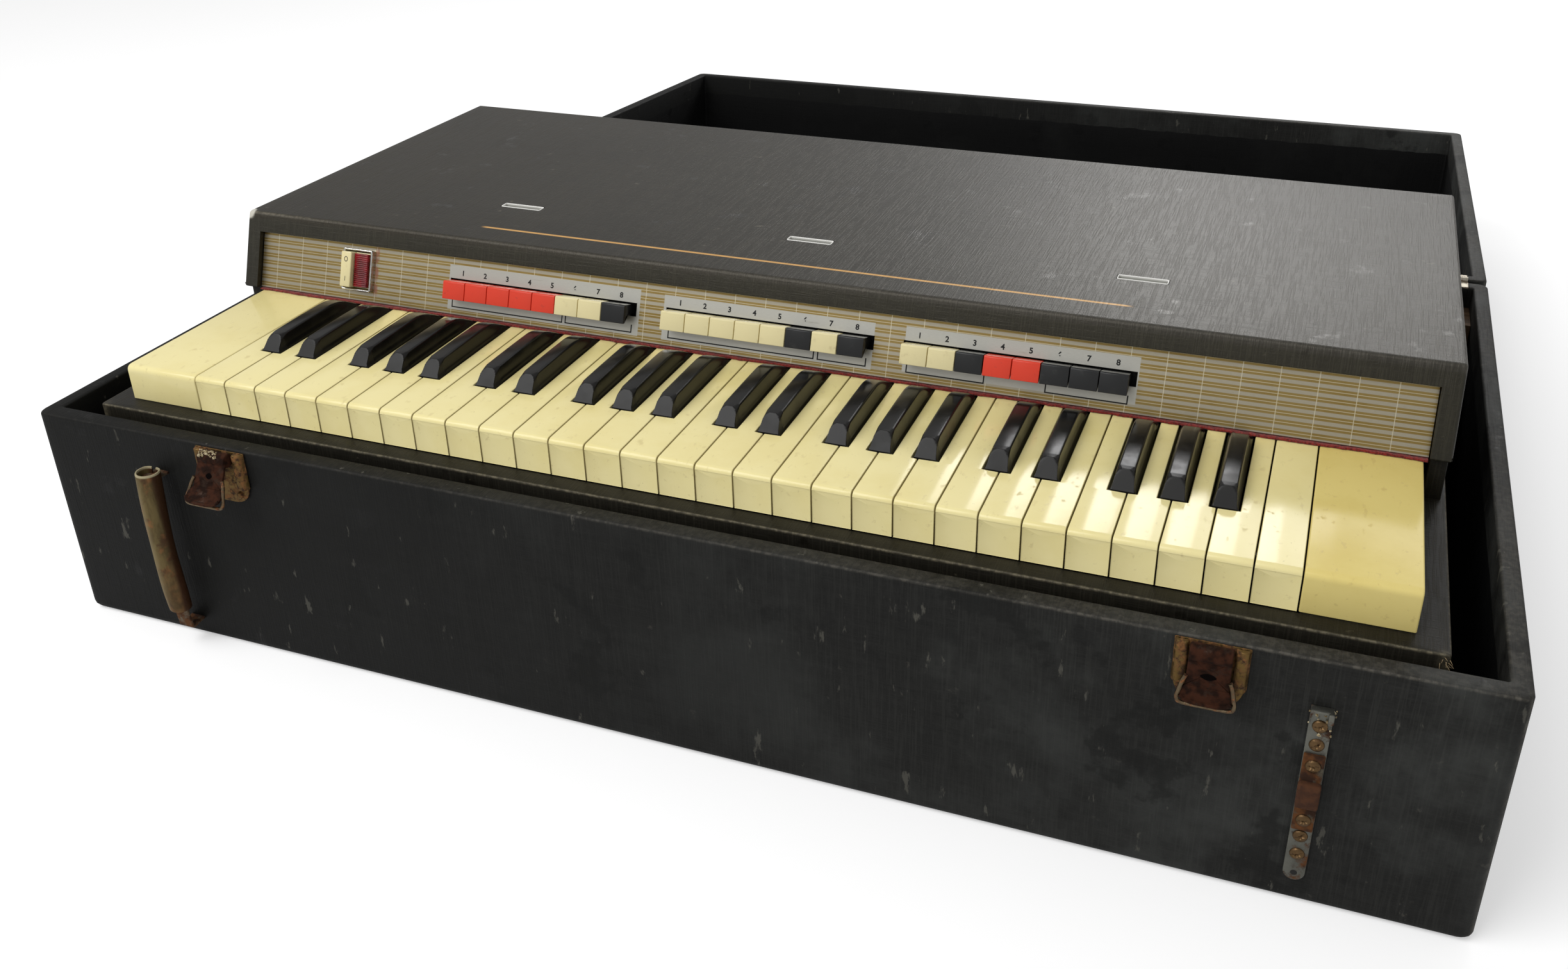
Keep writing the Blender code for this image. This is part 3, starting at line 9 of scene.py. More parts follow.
import bmesh
import bpy
import numpy as np
from mathutils import Matrix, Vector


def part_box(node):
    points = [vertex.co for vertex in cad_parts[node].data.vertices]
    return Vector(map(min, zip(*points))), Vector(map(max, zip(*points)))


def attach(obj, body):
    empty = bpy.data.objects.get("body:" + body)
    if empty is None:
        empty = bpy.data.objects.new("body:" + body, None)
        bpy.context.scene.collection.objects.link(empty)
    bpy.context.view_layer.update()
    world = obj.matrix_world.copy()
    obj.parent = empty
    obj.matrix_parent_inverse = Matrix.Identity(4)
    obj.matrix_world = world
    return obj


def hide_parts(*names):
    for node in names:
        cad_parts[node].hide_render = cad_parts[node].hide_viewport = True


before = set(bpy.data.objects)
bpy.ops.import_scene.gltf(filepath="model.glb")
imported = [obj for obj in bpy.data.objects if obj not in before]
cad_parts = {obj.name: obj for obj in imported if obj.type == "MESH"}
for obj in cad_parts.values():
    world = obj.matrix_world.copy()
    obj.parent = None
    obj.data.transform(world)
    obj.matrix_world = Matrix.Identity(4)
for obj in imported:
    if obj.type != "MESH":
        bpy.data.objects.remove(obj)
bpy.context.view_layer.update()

# Camera. The photograph was taken standing in front of the organ's high end and looking down over
# the keys to the low end, so the case's front runs down to the right. The lens is a phone's.
camera_data = bpy.data.cameras.new("camera")
camera_data.sensor_width = 36.0
camera_data.lens = 33.0
camera_data.shift_x = -0.0162
camera_data.shift_y = -0.0556
camera_data.clip_end = 60.0
camera = bpy.data.objects.new("camera", camera_data)
camera.location = (0.3264, -0.865, 0.5806)
camera.rotation_euler = (math.radians(63.127), math.radians(0.955), math.radians(20.503))
bpy.context.scene.collection.objects.link(camera)
bpy.context.scene.camera = camera

# Studio. A pale floor in an even white room under one broad soft lamp. A window behind the organ
# shows as the bright patch on the high keys, and a dimmer curtain beside it gives the hood's sheen.
bpy.context.scene.view_settings.view_transform = "Standard"
FLOOR_REACH = 9.0
WINDOW_AIM = (0.2, -0.1, 0.6)


def feed(node, name, value):
    """Give a node's socket a value, or link an output to it."""
    if isinstance(value, bpy.types.NodeSocket):
        node.id_data.links.new(value, node.inputs[name])
    else:
        node.inputs[name].default_value = value


def put(kind, inputs, **settings):
    """One node in the tree of the outputs that feed it; inputs maps a socket's name or number to a
    value or to such an output."""
    tree = next(value.id_data for value in inputs.values() if isinstance(value, bpy.types.NodeSocket))
    node = tree.nodes.new(kind)
    for name, value in settings.items():
        setattr(node, name, value)
    for name, value in inputs.items():
        feed(node, name, value)
    return node


def calc(operation, *values):
    """One arithmetic step on outputs and numbers."""
    return put("ShaderNodeMath", dict(enumerate(values)), operation=operation).outputs[0]


def times(first, second):
    """The product of two outputs or numbers."""
    return calc("MULTIPLY", first, second)


def ramp(value, low, high, start=0.0, end=1.0, curve="LINEAR"):
    """start below low, end above high, and a straight or smooth way between."""
    inputs = {"Value": value, "From Min": low, "From Max": high, "To Min": start, "To Max": end}
    return put("ShaderNodeMapRange", inputs, interpolation_type=curve).outputs[0]


def camera_sight(tree):
    """1 for what the camera sees directly."""
    return tree.nodes.new("ShaderNodeLightPath").outputs["Is Camera Ray"]


def unit(vectors):
    """Vectors brought to length 1."""
    return vectors / np.linalg.norm(vectors, axis=-1, keepdims=True)


def add_object(name, data):
    """An object in the scene that shows a mesh, a lamp or a text."""
    thing = bpy.data.objects.new(name, data)
    bpy.context.scene.collection.objects.link(thing)
    return thing


def make_floor():
    """A square of floor that holds the organ's shadow and stays white behind it."""
    mesh = bpy.data.meshes.new("floor")
    corners = np.array([[-1, -1, 0], [1, -1, 0], [1, 1, 0], [-1, 1, 0]]) * FLOOR_REACH
    mesh.from_pydata(corners.tolist(), [], [(0, 1, 2, 3)])
    floor = add_object("floor", mesh)
    material = bpy.data.materials.new("floor_paper")
    material.use_nodes = True
    shader = material.node_tree.nodes["Principled BSDF"]
    feed(shader, "Base Color", (0.8, 0.8, 0.8, 1.0))
    feed(shader, "Roughness", 0.9)
    feed(shader, "Specular IOR Level", 0.1)
    feed(shader, "Emission Color", (1.0, 1.0, 1.0, 1.0))
    feed(shader, "Emission Strength", times(camera_sight(material.node_tree), 0.38))
    mesh.materials.append(material)


def make_room():
    """White all round for the camera, and half as bright as a light."""
    world = bpy.data.worlds.new("room")
    bpy.context.scene.world = world
    world.use_nodes = True
    background = world.node_tree.nodes["Background"]
    feed(background, "Color", (1.0, 1.0, 1.0, 1.0))
    feed(background, "Strength", ramp(camera_sight(world.node_tree), 0.0, 1.0, 0.5, 1.0))


def add_lamp(name, place, aim, size, watts):
    """A rectangular lamp at a place, turned to face a point."""
    light = bpy.data.lights.new(name, "AREA")
    light.shape = "RECTANGLE"
    light.size, light.size_y = size
    light.energy = watts
    away = unit(np.array(place) - np.array(aim))
    side = unit(np.cross((0, 0, 1), away))
    turn = np.stack([side, np.cross(away, side), away], 1)
    add_object(name, light).matrix_world = Matrix.Translation(place) @ Matrix(turn.tolist()).to_4x4()


make_floor()
make_room()
add_lamp("room_lamp", (-1.0, -1.4, 2.1), (-0.1, -0.1, 0.1), (1.9, 1.6), 40.0)
add_lamp("window_lamp", (-0.02, 2.5, 1.46), WINDOW_AIM, (0.56, 0.86), 11.0)
add_lamp("curtain_lamp", (0.72, 2.5, 1.46), WINDOW_AIM, (0.9, 0.86), 8.5)

# Case. A plywood tray wrapped in charcoal linen-grained vinyl that turns over the rim and ends a
# little way down inside; below that the wood is painted black. Edges and corners are rubbed.
CASE_LOW, CASE_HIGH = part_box("case_base")
CASE_TOP = 0.1547
CASE_WALLS = (0.0105, 0.0105, 0.0125, 0.011)
CASE_FLOOR = 0.009
CASE_CORNER = 0.006
RIM_ROUND = 0.0018
VINYL_TURN = 0.02
LEAF_HALF = 0.4343
LEAF_SUNK = 0.0015
LINEN_PITCH = 0.0011


def quarter(count):
    """Angles of a quarter circle."""
    return np.linspace(0, math.pi / 2, count)


def shell(loops, ring=False):
    """A closed skin. loops[i, j] is point j of ring i; each ring joins the next, and the end rings
    close on their mean points, or on each other where ring is true."""
    loops = np.asarray(loops)
    rings, around, _ = loops.shape
    index = np.arange(rings * around).reshape(rings, around)
    near = index if ring else index[:-1]
    far = np.roll(index, -1, 0) if ring else index[1:]
    quads = np.stack([near, np.roll(near, -1, 1), np.roll(far, -1, 1), far], -1).reshape(-1, 4)
    points = loops.reshape(-1, 3)
    if ring:
        return points, quads, np.zeros((0, 3), int)
    points = np.concatenate([points, loops[:1].mean(1), loops[-1:].mean(1)])
    head = np.stack([np.roll(index[0], -1), index[0], np.full(around, rings * around)], -1)
    tail = np.stack([index[-1], np.roll(index[-1], -1), np.full(around, rings * around + 1)], -1)
    return points, quads, np.concatenate([head, tail])


def add_piece(name, skins, finish, body, stands_for=(), sharp=35.0):
    """Join skins into one mesh with its faces outwards, and hang it on a body."""
    points = np.concatenate([skin[0] for skin in skins])
    starts = np.cumsum([0] + [len(skin[0]) for skin in skins[:-1]])
    faces = []
    for start, (_, quads, triangles) in zip(starts, skins):
        faces += (quads + start).tolist() + (triangles + start).tolist()
    mesh = bpy.data.meshes.new(name)
    mesh.from_pydata(points.tolist(), [], faces)
    tidy = bmesh.new()
    tidy.from_mesh(mesh)
    bmesh.ops.remove_doubles(tidy, verts=tidy.verts, dist=0.0000005)
    bmesh.ops.recalc_face_normals(tidy, faces=tidy.faces)
    tidy.to_mesh(mesh)
    tidy.free()
    mesh.shade_smooth()
    mesh.set_sharp_from_angle(angle=math.radians(sharp))
    mesh.materials.append(finish)
    piece = add_object(name, mesh)
    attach(piece, body)
    if stands_for:
        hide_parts(*stands_for)
    return piece


def moved(skin, matrix):
    """A skin carried by a 4 x 4 matrix."""
    matrix = np.array(matrix)
    points, quads, triangles = skin
    return points @ matrix[:3, :3].T + matrix[:3, 3], quads, triangles


def plan_ring(low, high, inset, radius, height, xs, ys, corner=5):
    """A level rectangle, inset from low and high by its four sides' own amounts (left, right, front,
    back), with quarter circles r (cos a, sin a) at its corners; xs and ys are kept along its sides."""
    x0, x1 = low[0] + inset[0], high[0] - inset[1]
    y0, y1 = low[1] + inset[2], high[1] - inset[3]
    xs = np.clip(xs, x0 + radius, x1 - radius)
    ys = np.clip(ys, y0 + radius, y1 - radius)
    quarters = []
    for start, cx, cy in ((-1, x1, y0), (0, x1, y1), (1, x0, y1), (2, x0, y0)):
        a = quarter(corner) + start * math.pi / 2
        cx += radius if cx == x0 else -radius
        cy += radius if cy == y0 else -radius
        quarters.append(np.stack([cx + radius * np.cos(a), cy + radius * np.sin(a)], 1))
    sides = [np.stack([xs, np.full(len(xs), y0)], 1), np.stack([np.full(len(ys), x1), ys], 1),
             np.stack([xs[::-1], np.full(len(xs), y1)], 1), np.stack([np.full(len(ys), x0), ys[::-1]], 1)]
    flat = np.concatenate([part for pair in zip(sides, quarters) for part in pair])
    return np.column_stack([flat, np.full(len(flat), height)])


def tray_loops(low, high, walls, floor, corner, rim, marks=()):
    """An open tray as rings. From the underside's middle they go round a quarter circle of the
    corner's radius, up the outside, over the rim's two small quarter circles, and down inside."""
    xs = np.sort(np.concatenate([np.linspace(low[0], high[0], 25), marks]))
    ys = np.linspace(low[1], high[1], 17)
    walls = np.array(walls)
    even = np.ones(4)
    stations = []
    for a in quarter(5):
        stations.append((even * corner * (1 - math.sin(a)), corner, low[2] + corner * (1 - math.cos(a))))
    for a in quarter(4):
        stations.append((even * rim * (1 - math.cos(a)), corner, high[2] - rim * (1 - math.sin(a))))
    for a in quarter(4):
        stations.append((walls - rim * (1 - math.sin(a)), rim, high[2] - rim * (1 - math.cos(a))))
    for share in (0.5, 1.0):
        stations.append((walls, rim, high[2] + (low[2] + floor - high[2]) * share + rim * share))
    stations.append((walls + rim, rim, low[2] + floor))
    rings = [plan_ring(low, high, inset, max(radius, 0.0006), z, xs, ys) for inset, radius, z in stations]
    return np.stack(rings)


def rebated_tray(low, high, walls, near, far):
    """A tray whose rim has a shallow rebate for the hinge's leaf between two values of y."""
    marks = (-LEAF_HALF - 0.0002, -LEAF_HALF, LEAF_HALF, LEAF_HALF + 0.0002)
    loops = tray_loops(low, high, walls, CASE_FLOOR, CASE_CORNER, RIM_ROUND, marks)
    x, y, z = np.moveaxis(loops, -1, 0)
    rebate = (np.abs(x) <= LEAF_HALF + 0.00005) & (y > near) & (y < far)
    loops[..., 2] = np.where(rebate, np.minimum(z, high[2] - LEAF_SUNK), z)
    return shell(loops)


def plus(first, second):
    """The sum of two outputs or numbers."""
    return calc("ADD", first, second)


def minus(first, second):
    """One output or number less another."""
    return calc("SUBTRACT", first, second)


def stretched(place, by):
    """Coordinates multiplied along x, y and z, which draws an effect out along the small ones."""
    return put("ShaderNodeVectorMath", {0: place, 1: by}, operation="MULTIPLY").outputs[0]


def noise(place, scale, detail=2.0, roughness=0.5):
    """Cloudy noise of 0 to 1."""
    inputs = {"Vector": place, "Scale": scale, "Detail": detail, "Roughness": roughness}
    return put("ShaderNodeTexNoise", inputs).outputs[0]


def step_up(value, low, high):
    """0 below low, 1 above high, and a smooth step between."""
    return ramp(value, low, high, curve="SMOOTHSTEP")


def near_to(value, place, reach):
    """1 where a value is at a place, falling to 0 at its reach."""
    return ramp(calc("ABSOLUTE", minus(value, place)), 0.0, reach, 1.0, 0.0, "SMOOTHSTEP")


def within(value, low, high, soft):
    """1 between two values and 0 outside, each edge soft by half its width."""
    return times(step_up(value, low - soft, low + soft), ramp(value, high - soft, high + soft, 1.0, 0.0))


def largest(*values):
    """The largest of several numbers."""
    result = values[0]
    for value in values[1:]:
        result = calc("MAXIMUM", result, value)
    return result


def group_of(name, inputs, outputs):
    """An empty node group, what its input node gives, and its output node. inputs maps a name to its
    first value, or to None for a vector; each output is a number."""
    tree = bpy.data.node_groups.new(name, "ShaderNodeTree")
    for label, value in inputs.items():
        kind = "NodeSocketVector" if value is None else "NodeSocketFloat"
        socket = tree.interface.new_socket(label, in_out="INPUT", socket_type=kind)
        if value is not None:
            socket.default_value = value
    for label in outputs:
        tree.interface.new_socket(label, in_out="OUTPUT", socket_type="NodeSocketFloat")
    return tree, tree.nodes.new("NodeGroupInput").outputs, tree.nodes.new("NodeGroupOutput")


def make_linen_grain():
    """Linen embossing: three noises, each drawn out along one axis, which cross on every face."""
    tree, given, result = group_of("linen_grain", {"Vector": None, "Pitch": LINEN_PITCH}, ("Height", "Streaks"))
    scale = calc("DIVIDE", 1.0, given["Pitch"])
    fine = broad = 0.0
    for by in ((0.035, 1, 1), (1, 0.035, 1), (1, 1, 0.035)):
        place = stretched(given["Vector"], by)
        fine = plus(fine, noise(place, scale, 1.0))
        broad = plus(broad, noise(place, times(scale, 0.28)))
    feed(result, "Height", times(fine, 1 / 3))
    feed(result, "Streaks", ramp(plus(times(fine, 0.16), times(broad, 0.17)), 0.38, 0.62))
    return tree


def make_grime():
    """Dust, stains and scuffs: cloudy noise kept above a level, with a finer noise to break it."""
    inputs = {"Vector": None, "Size": 0.05, "Level": 0.55, "Softness": 0.12}
    tree, given, result = group_of("grime", inputs, ("Mask",))
    cloud = noise(given["Vector"], calc("DIVIDE", 1.0, given["Size"]), 6.0, 0.62)
    feed(result, "Mask", step_up(cloud, given["Level"], plus(given["Level"], given["Softness"])))
    return tree


LINEN_GRAIN = make_linen_grain()
GRIME = make_grime()


def shared(group, **inputs):
    """A shared effect placed in a material with its own values."""
    return put("ShaderNodeGroup", inputs, node_tree=group).outputs


def grime(place, size, level, softness):
    """The mask of dust, stains or scuffs of a size, over a level."""
    return shared(GRIME, Vector=place, Size=size, Level=level, Softness=softness)[0]


def tint(share, first, second, strength=1.0):
    """The first colour, and the second by its share times a strength."""
    if strength != 1.0:
        share = times(share, strength)
    first, second = ((*colour, 1.0) if isinstance(colour, tuple) else colour for colour in (first, second))
    return put("ShaderNodeMix", {"Factor": share, 6: first, 7: second}, data_type="RGBA").outputs[2]


def scaled(colour, by):
    """A colour made darker or lighter."""
    return tuple(number * by for number in colour)


def new_finish(name, roughness, specular=0.5, metallic=0.0):
    """A material with its shader, and the piece's own coordinates, whole and as x, y and z."""
    material = bpy.data.materials.new(name)
    material.use_nodes = True
    shader = material.node_tree.nodes["Principled BSDF"]
    feed(shader, "Roughness", roughness)
    feed(shader, "Specular IOR Level", specular)
    feed(shader, "Metallic", metallic)
    place = material.node_tree.nodes.new("ShaderNodeTexCoord").outputs["Object"]
    return material, shader, place, put("ShaderNodeSeparateXYZ", {0: place}).outputs


def turned_place(place, origin, turn):
    """Coordinates from another origin and turned about x, whole and as x, y and z."""
    inputs = {"Vector": place, "Location": origin, "Rotation": (turn, 0.0, 0.0)}
    local = put("ShaderNodeMapping", inputs, vector_type="TEXTURE").outputs[0]
    return local, put("ShaderNodeSeparateXYZ", {0: local}).outputs


def emboss(shader, height, depth, strength=1.0):
    """Raise a height of 0 to 1 by a depth in metres."""
    bump = put("ShaderNodeBump", {"Height": height, "Distance": depth, "Strength": strength})
    feed(shader, "Normal", bump.outputs[0])


def thick_threads(place):
    """Slubs in the linen: noise drawn out along the threads that run back and down, and along x."""
    slubs = 0.0
    for by, low, share in (((1.0, 0.035, 0.035), 0.48, 0.85), ((0.04, 1.0, 1.0), 0.55, 0.5)):
        thread = step_up(noise(stretched(place, by), 1150.0), low, low + 0.16)
        slubs = largest(slubs, times(thread, share))
    return slubs


def vinyl_look(shader, place, base, pale, worn, wear, stain_level=0.6, grain=0.5):
    """Linen vinyl: base and pale thread colours, rubbed edges, greasy stains, dust and scratches."""
    linen = shared(LINEN_GRAIN, Vector=place, Pitch=LINEN_PITCH)
    slubs = thick_threads(place)
    greasy = grime(place, 0.028, stain_level, 0.08)
    shade = tint(linen["Streaks"], base, pale, grain)
    shade = tint(slubs, shade, scaled(pale, 1.6), grain * 0.6)
    shade = tint(grime(place, 0.16, 0.45, 0.22), shade, scaled(base, 0.55), 0.35)
    shade = tint(greasy, shade, scaled(base, 0.3), 0.5)
    shade = tint(grime(place, 0.012, 0.66, 0.1), shade, worn, 0.35)
    fleck = grime(place, 0.0035, 0.42, 0.2)
    shade = tint(times(wear, plus(0.35, times(fleck, 0.65))), shade, worn)
    rough = minus(shader.inputs["Roughness"].default_value, times(greasy, 0.12))
    feed(shader, "Roughness", plus(rough, times(slubs, 0.06)))
    emboss(shader, plus(linen["Height"], times(slubs, 0.35)), 0.0004, 0.55)
    return shade


def make_case_cloth(name, inside_low, inside_high, rim, turn=None):
    """Vinyl outside and over the rim, with pale scuffs and painted light towards the high end, painted
    shade towards the low end, and black paint inside below where the vinyl ends."""
    material, shader, place, parts = new_finish(name, 0.6, 0.17)
    if turn:
        place, parts = turned_place(place, *turn)
    x, y, z = parts
    wide = calc("ABSOLUTE", x)
    top = step_up(z, rim - 0.0016, rim - 0.0002)
    # The light line along the rim's front outer edge is partly rubbed vinyl and partly a painted highlight.
    front_edge = times(near_to(y, -0.2615, 0.0016), near_to(z, rim - 0.0004, 0.0016))
    corners = largest(near_to(y, inside_low[1] - 0.01, 0.006), near_to(y, inside_high[1] + 0.01, 0.006))
    upright = times(step_up(wide, 0.4445, 0.4472), corners)
    wear = largest(times(top, 0.3), times(upright, 0.5), times(front_edge, 0.75))
    shade = vinyl_look(shader, place, (0.008, 0.008, 0.0072), (0.027, 0.027, 0.0245), (0.115, 0.105, 0.086),
                       wear)
    # Lighter towards the high end and darker towards the low end: painted light and painted shade, with pale
    # scuffs in the lighter part.
    painted_light_ramp = step_up(x, -0.5, 0.45)
    shade = tint(times(grime(place, 0.09, 0.43, 0.24), painted_light_ramp), shade, (0.058, 0.061, 0.057), 0.5)
    shade = tint(minus(1.0, painted_light_ramp), shade, (0.0035, 0.0036, 0.0032), 0.92)
    shade = tint(grime(place, 0.062, 0.57, 0.05), shade, (0.004, 0.0042, 0.0036), 0.55)
    scrape = grime(stretched(place, (1.0, 1.0, 0.3)), 0.009, 0.635, 0.05)
    shade = tint(scrape, shade, (0.12, 0.115, 0.095), 0.45)
    inner = times(within(wide, -1.0, inside_high[0] + 0.0004, 0.0003),
                  within(y, inside_low[1] - 0.0004, inside_high[1] + 0.0004, 0.0003))
    cut_line = minus(rim - VINYL_TURN, times(noise(place, 60.0), 0.004))
    painted = times(inner, calc("LESS_THAN", z, cut_line))
    paint = tint(grime(place, 0.07, 0.46, 0.3), (0.0022, 0.0022, 0.0022), (0.009, 0.0092, 0.0085), 0.5)
    feed(shader, "Base Color", tint(painted, shade, paint))
    return material


def make_case():
    """The tray, its rebate along the back rim."""
    high = np.array([CASE_HIGH[0], CASE_HIGH[1], CASE_TOP])
    tray = rebated_tray(np.array(CASE_LOW), high, CASE_WALLS, 0.2508, 1.0)
    add_piece("case_tray", [tray], CASE_CLOTH, "case", ("case_base",))


CASE_CLOTH = make_case_cloth("case_cloth", (-0.4375, -0.2495), (0.4375, 0.251), CASE_TOP)
make_case()

# Lid. The same tray with lower walls, hinged to the case's back rim and laid open, so that its
# inside faces up; it droops a little behind the case.
HINGE_AXIS = (0.0, 0.2652, 0.155)
LID_DROOP = math.radians(3.4)
LID_LOW = np.array([-0.448, 0.0032, -0.1003])
LID_HIGH = np.array([0.448, 0.5257, -0.0003])
LID_WALLS = (0.0105, 0.0105, 0.011, 0.0125)
LID_PLACE = Matrix.Translation(HINGE_AXIS) @ Matrix.Rotation(-LID_DROOP, 4, "X")


def make_lid():
    """The lid's tray, made level and then let down with the hinge."""
    cloth = make_case_cloth("lid_cloth", (-0.4375, 0.0142), (0.4375, 0.5132), LID_HIGH[2],
                            (HINGE_AXIS, -LID_DROOP))
    tray = rebated_tray(LID_LOW, LID_HIGH, LID_WALLS, -1.0, 0.0144)
    add_piece("lid_tray", [moved(tray, LID_PLACE)], cloth, "lid", ("case_lid",))


make_lid()

# Bearers and hinge. Two softwood bars inside the case carry the organ. A plated piano hinge runs
# along the back rim, its knuckles turned by rust and handling.


def make_rust():
    """Rust on plated steel: large blooms, finely broken, with a pitted height."""
    tree, given, result = group_of("rust", {"Vector": None, "Size": 0.006, "Level": 0.5},
                                   ("Mask", "Pits", "Shade"))
    place, scale = given["Vector"], calc("DIVIDE", 1.0, given["Size"])
    feed(result, "Mask", ramp(noise(place, scale, 8.0, 0.7), given["Level"], plus(given["Level"], 0.1)))
    feed(result, "Pits", noise(place, times(scale, 5.0), 3.0))
    feed(result, "Shade", step_up(noise(place, times(scale, 1.7), 4.0), 0.38, 0.62))
    return tree


RUST = make_rust()


def plated_steel(name, plating, level, roughness=0.38, dark=(0.06, 0.022, 0.01), light=(0.26, 0.105, 0.035),
                 size=0.006, specular=0.35):
    """Plated steel that has rusted where the plating has gone."""
    material, shader, place, _ = new_finish(name, roughness, specular, 1.0)
    rust = shared(RUST, Vector=place, Size=size, Level=level)
    plate = tint(grime(place, size * 2, 0.4, 0.3), plating, scaled(plating, 0.45), 0.6)
    feed(shader, "Base Color", tint(rust["Mask"], plate, tint(rust["Shade"], dark, light)))
    feed(shader, "Metallic", minus(1.0, times(rust["Mask"], 0.85)))
    feed(shader, "Roughness", plus(roughness, times(rust["Mask"], 0.45)))
    emboss(shader, rust["Pits"], 0.0003, 0.5)
    return material


def bare_wood(name, light, dark):
    """Planed softwood: rings drawn out along the board."""
    material, shader, place, _ = new_finish(name, 0.7, 0.3)
    rings = noise(stretched(place, (1.5, 45.0, 45.0)), 3.0, 5.0)
    feed(shader, "Base Color", tint(step_up(rings, 0.35, 0.65), light, dark))
    emboss(shader, rings, 0.0004, 0.4)
    return material


def dress(finish, *nodes):
    """Give CAD nodes whose shape is right their finish."""
    for name in nodes:
        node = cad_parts[name]
        node.data.materials.clear()
        node.data.materials.append(finish)


dress(bare_wood("bearer_pine", (0.16, 0.095, 0.05), (0.075, 0.042, 0.022)), "bearer_front", "bearer_rear")
dress(plated_steel("hinge_steel", (0.46, 0.42, 0.34), 0.5, 0.42), "hinge_leaf_base", "hinge_leaf_lid")

# Latches. Each has a pressed brass-plated plate with two raised wings, a flap that hangs from a
# rolled barrel and ends in a curled lip, and a wire bail round the flap. The left flap was left
# swung out, its barrel crusted white; the right one hangs shut with a wide black keyhole in it.
LATCH_PLACES = (("left", -0.2988, math.radians(28.0)), ("right", 0.3043, 0.0))
LATCH_TOP = CASE_TOP - 0.0012
LATCH_WALL = -0.2623
LATCH_PIVOT = (-0.2678, 0.1495)
PLATE_HALF, PLATE_TALL, PLATE_SHEET = 0.0185, 0.0365, 0.0012
WING_WIDE, WING_DEEP = 0.0072, 0.0045
BARREL = 0.004
FLAP_HALF, FLAP_LONG, FLAP_THICK = 0.0104, 0.0285, 0.0018
FLAP_FACE = 0.0012 - BARREL
FLAP_CREASE, FLAP_LIP = -0.0185, 0.01325
ALONG_Y = (0, 1, 0)


def circle(count):
    """Angles of a full circle, its start not repeated."""
    return np.linspace(0, 2 * math.pi, count, endpoint=False)


def rectangle(x0, x1, y0, y1):
    """The corners of a rectangle."""
    return [(x0, y0), (x1, y0), (x1, y1), (x0, y1)]


def bend(before, corner, after, reach, steps):
    """Corners rounded: each corner P, with A and B on its two sides, becomes the curve
    (1-s)^2 A + 2s(1-s) P + s^2 B."""
    back, ahead = before - corner, after - corner
    back_length = np.linalg.norm(back, axis=1, keepdims=True)
    ahead_length = np.linalg.norm(ahead, axis=1, keepdims=True)
    size = np.minimum(reach, 0.48 * np.minimum(back_length, ahead_length))
    first = (corner + back / back_length * size)[:, None]
    last = (corner + ahead / ahead_length * size)[:, None]
    s = np.linspace(0, 1, steps + 1)[None, :, None]
    curve = (1 - s) ** 2 * first + 2 * s * (1 - s) * corner[:, None] + s ** 2 * last
    return curve.reshape(-1, corner.shape[1])


def fillet(outline, reach, steps=4):
    """A closed outline with its corners rounded; reach is one length or one for each corner."""
    corner = np.asarray(outline, float)
    return bend(np.roll(corner, 1, 0), corner, np.roll(corner, -1, 0), np.reshape(reach, (-1, 1)), steps)


def smooth_route(points, reach, steps=5):
    """An open route with its bends rounded."""
    points = np.asarray(points, float)
    return np.concatenate([points[:1], bend(points[:-2], points[1:-1], points[2:], reach, steps), points[-1:]])


def shrunk(outline, depth):
    """An outline moved inwards by a depth: each point goes along the mean of its sides' normals."""
    after = np.roll(outline, -1, 0)
    tangent = after - np.roll(outline, 1, 0)
    tangent /= np.maximum(np.linalg.norm(tangent, axis=1, keepdims=True), 1e-12)
    area = np.sum(outline[:, 0] * after[:, 1] - after[:, 0] * outline[:, 1])
    return outline + np.stack([-tangent[:, 1], tangent[:, 0]], 1) * np.sign(area) * depth


def carried(outline, low, high, edge, plane="side", steps=3, ends=(True, True)):
    """A solid whose outline is carried from low to high, with its end edges rounded: the rings near
    an end shrink by e(1 - sin a) while they move by e(1 - cos a). plane says what the outline's two
    numbers are: side y, z; front x, z; top x, y."""
    turns = [(edge * (1 - math.cos(a)), edge * (1 - math.sin(a))) for a in quarter(steps + 1)]
    first = turns if ends[0] else [(0.0, 0.0)]
    last = turns[::-1] if ends[1] else [(0.0, 0.0)]
    rings = [(low + move, depth) for move, depth in first] + [(high - move, depth) for move, depth in last]
    order = {"side": (2, 0, 1), "front": (0, 2, 1), "top": (0, 1, 2)}[plane]
    loops = []
    for along, depth in rings:
        flat = shrunk(outline, depth) if depth else outline
        loops.append(np.column_stack([flat, np.full(len(flat), along)])[:, order])
    return shell(loops)


def block(low, high, edge, steps=3):
    """A box with rounded edges, as a rounded rectangle carried upwards."""
    outline = fillet(rectangle(low[0], high[0], low[1], high[1]), edge * 1.2, 3)
    return carried(outline, low[2], high[2], edge, "top", steps)


def pin(start, end, radius, edge, around=14):
    """A round bar from start to end with rounded ends."""
    start, end = np.array(start, float), np.array(end, float)
    length = float(np.linalg.norm(end - start))
    axis = unit(end - start)
    side = unit(np.cross(axis, (0.0, 0.0, 1.0) if abs(axis[2]) < 0.9 else (1.0, 0.0, 0.0)))
    ring = np.outer(np.cos(circle(around)), side) + np.outer(np.sin(circle(around)), np.cross(axis, side))
    head = [(edge * (1 - math.cos(a)) / length, radius - edge * (1 - math.sin(a))) for a in quarter(4)]
    stations = np.array(head + [(1 - share, size) for share, size in head[::-1]])
    return shell(start + axis * (stations[:, :1, None] * length) + ring[None] * stations[:, 1:, None])


def wire(route, radius, normal=ALONG_Y, around=10):
    """A round wire along a flat route: ring j at each point p is p + r (cos a N + sin a B), with B the
    plane's normal and N at right angles to the route in the plane."""
    route = np.asarray(route, float)
    flat = np.array(normal, float)
    across = unit(np.cross(unit(np.gradient(route, axis=0)), flat))
    angle = circle(around)[None, :, None]
    return shell(route[:, None] + radius * (np.cos(angle) * across[:, None] + np.sin(angle) * flat))


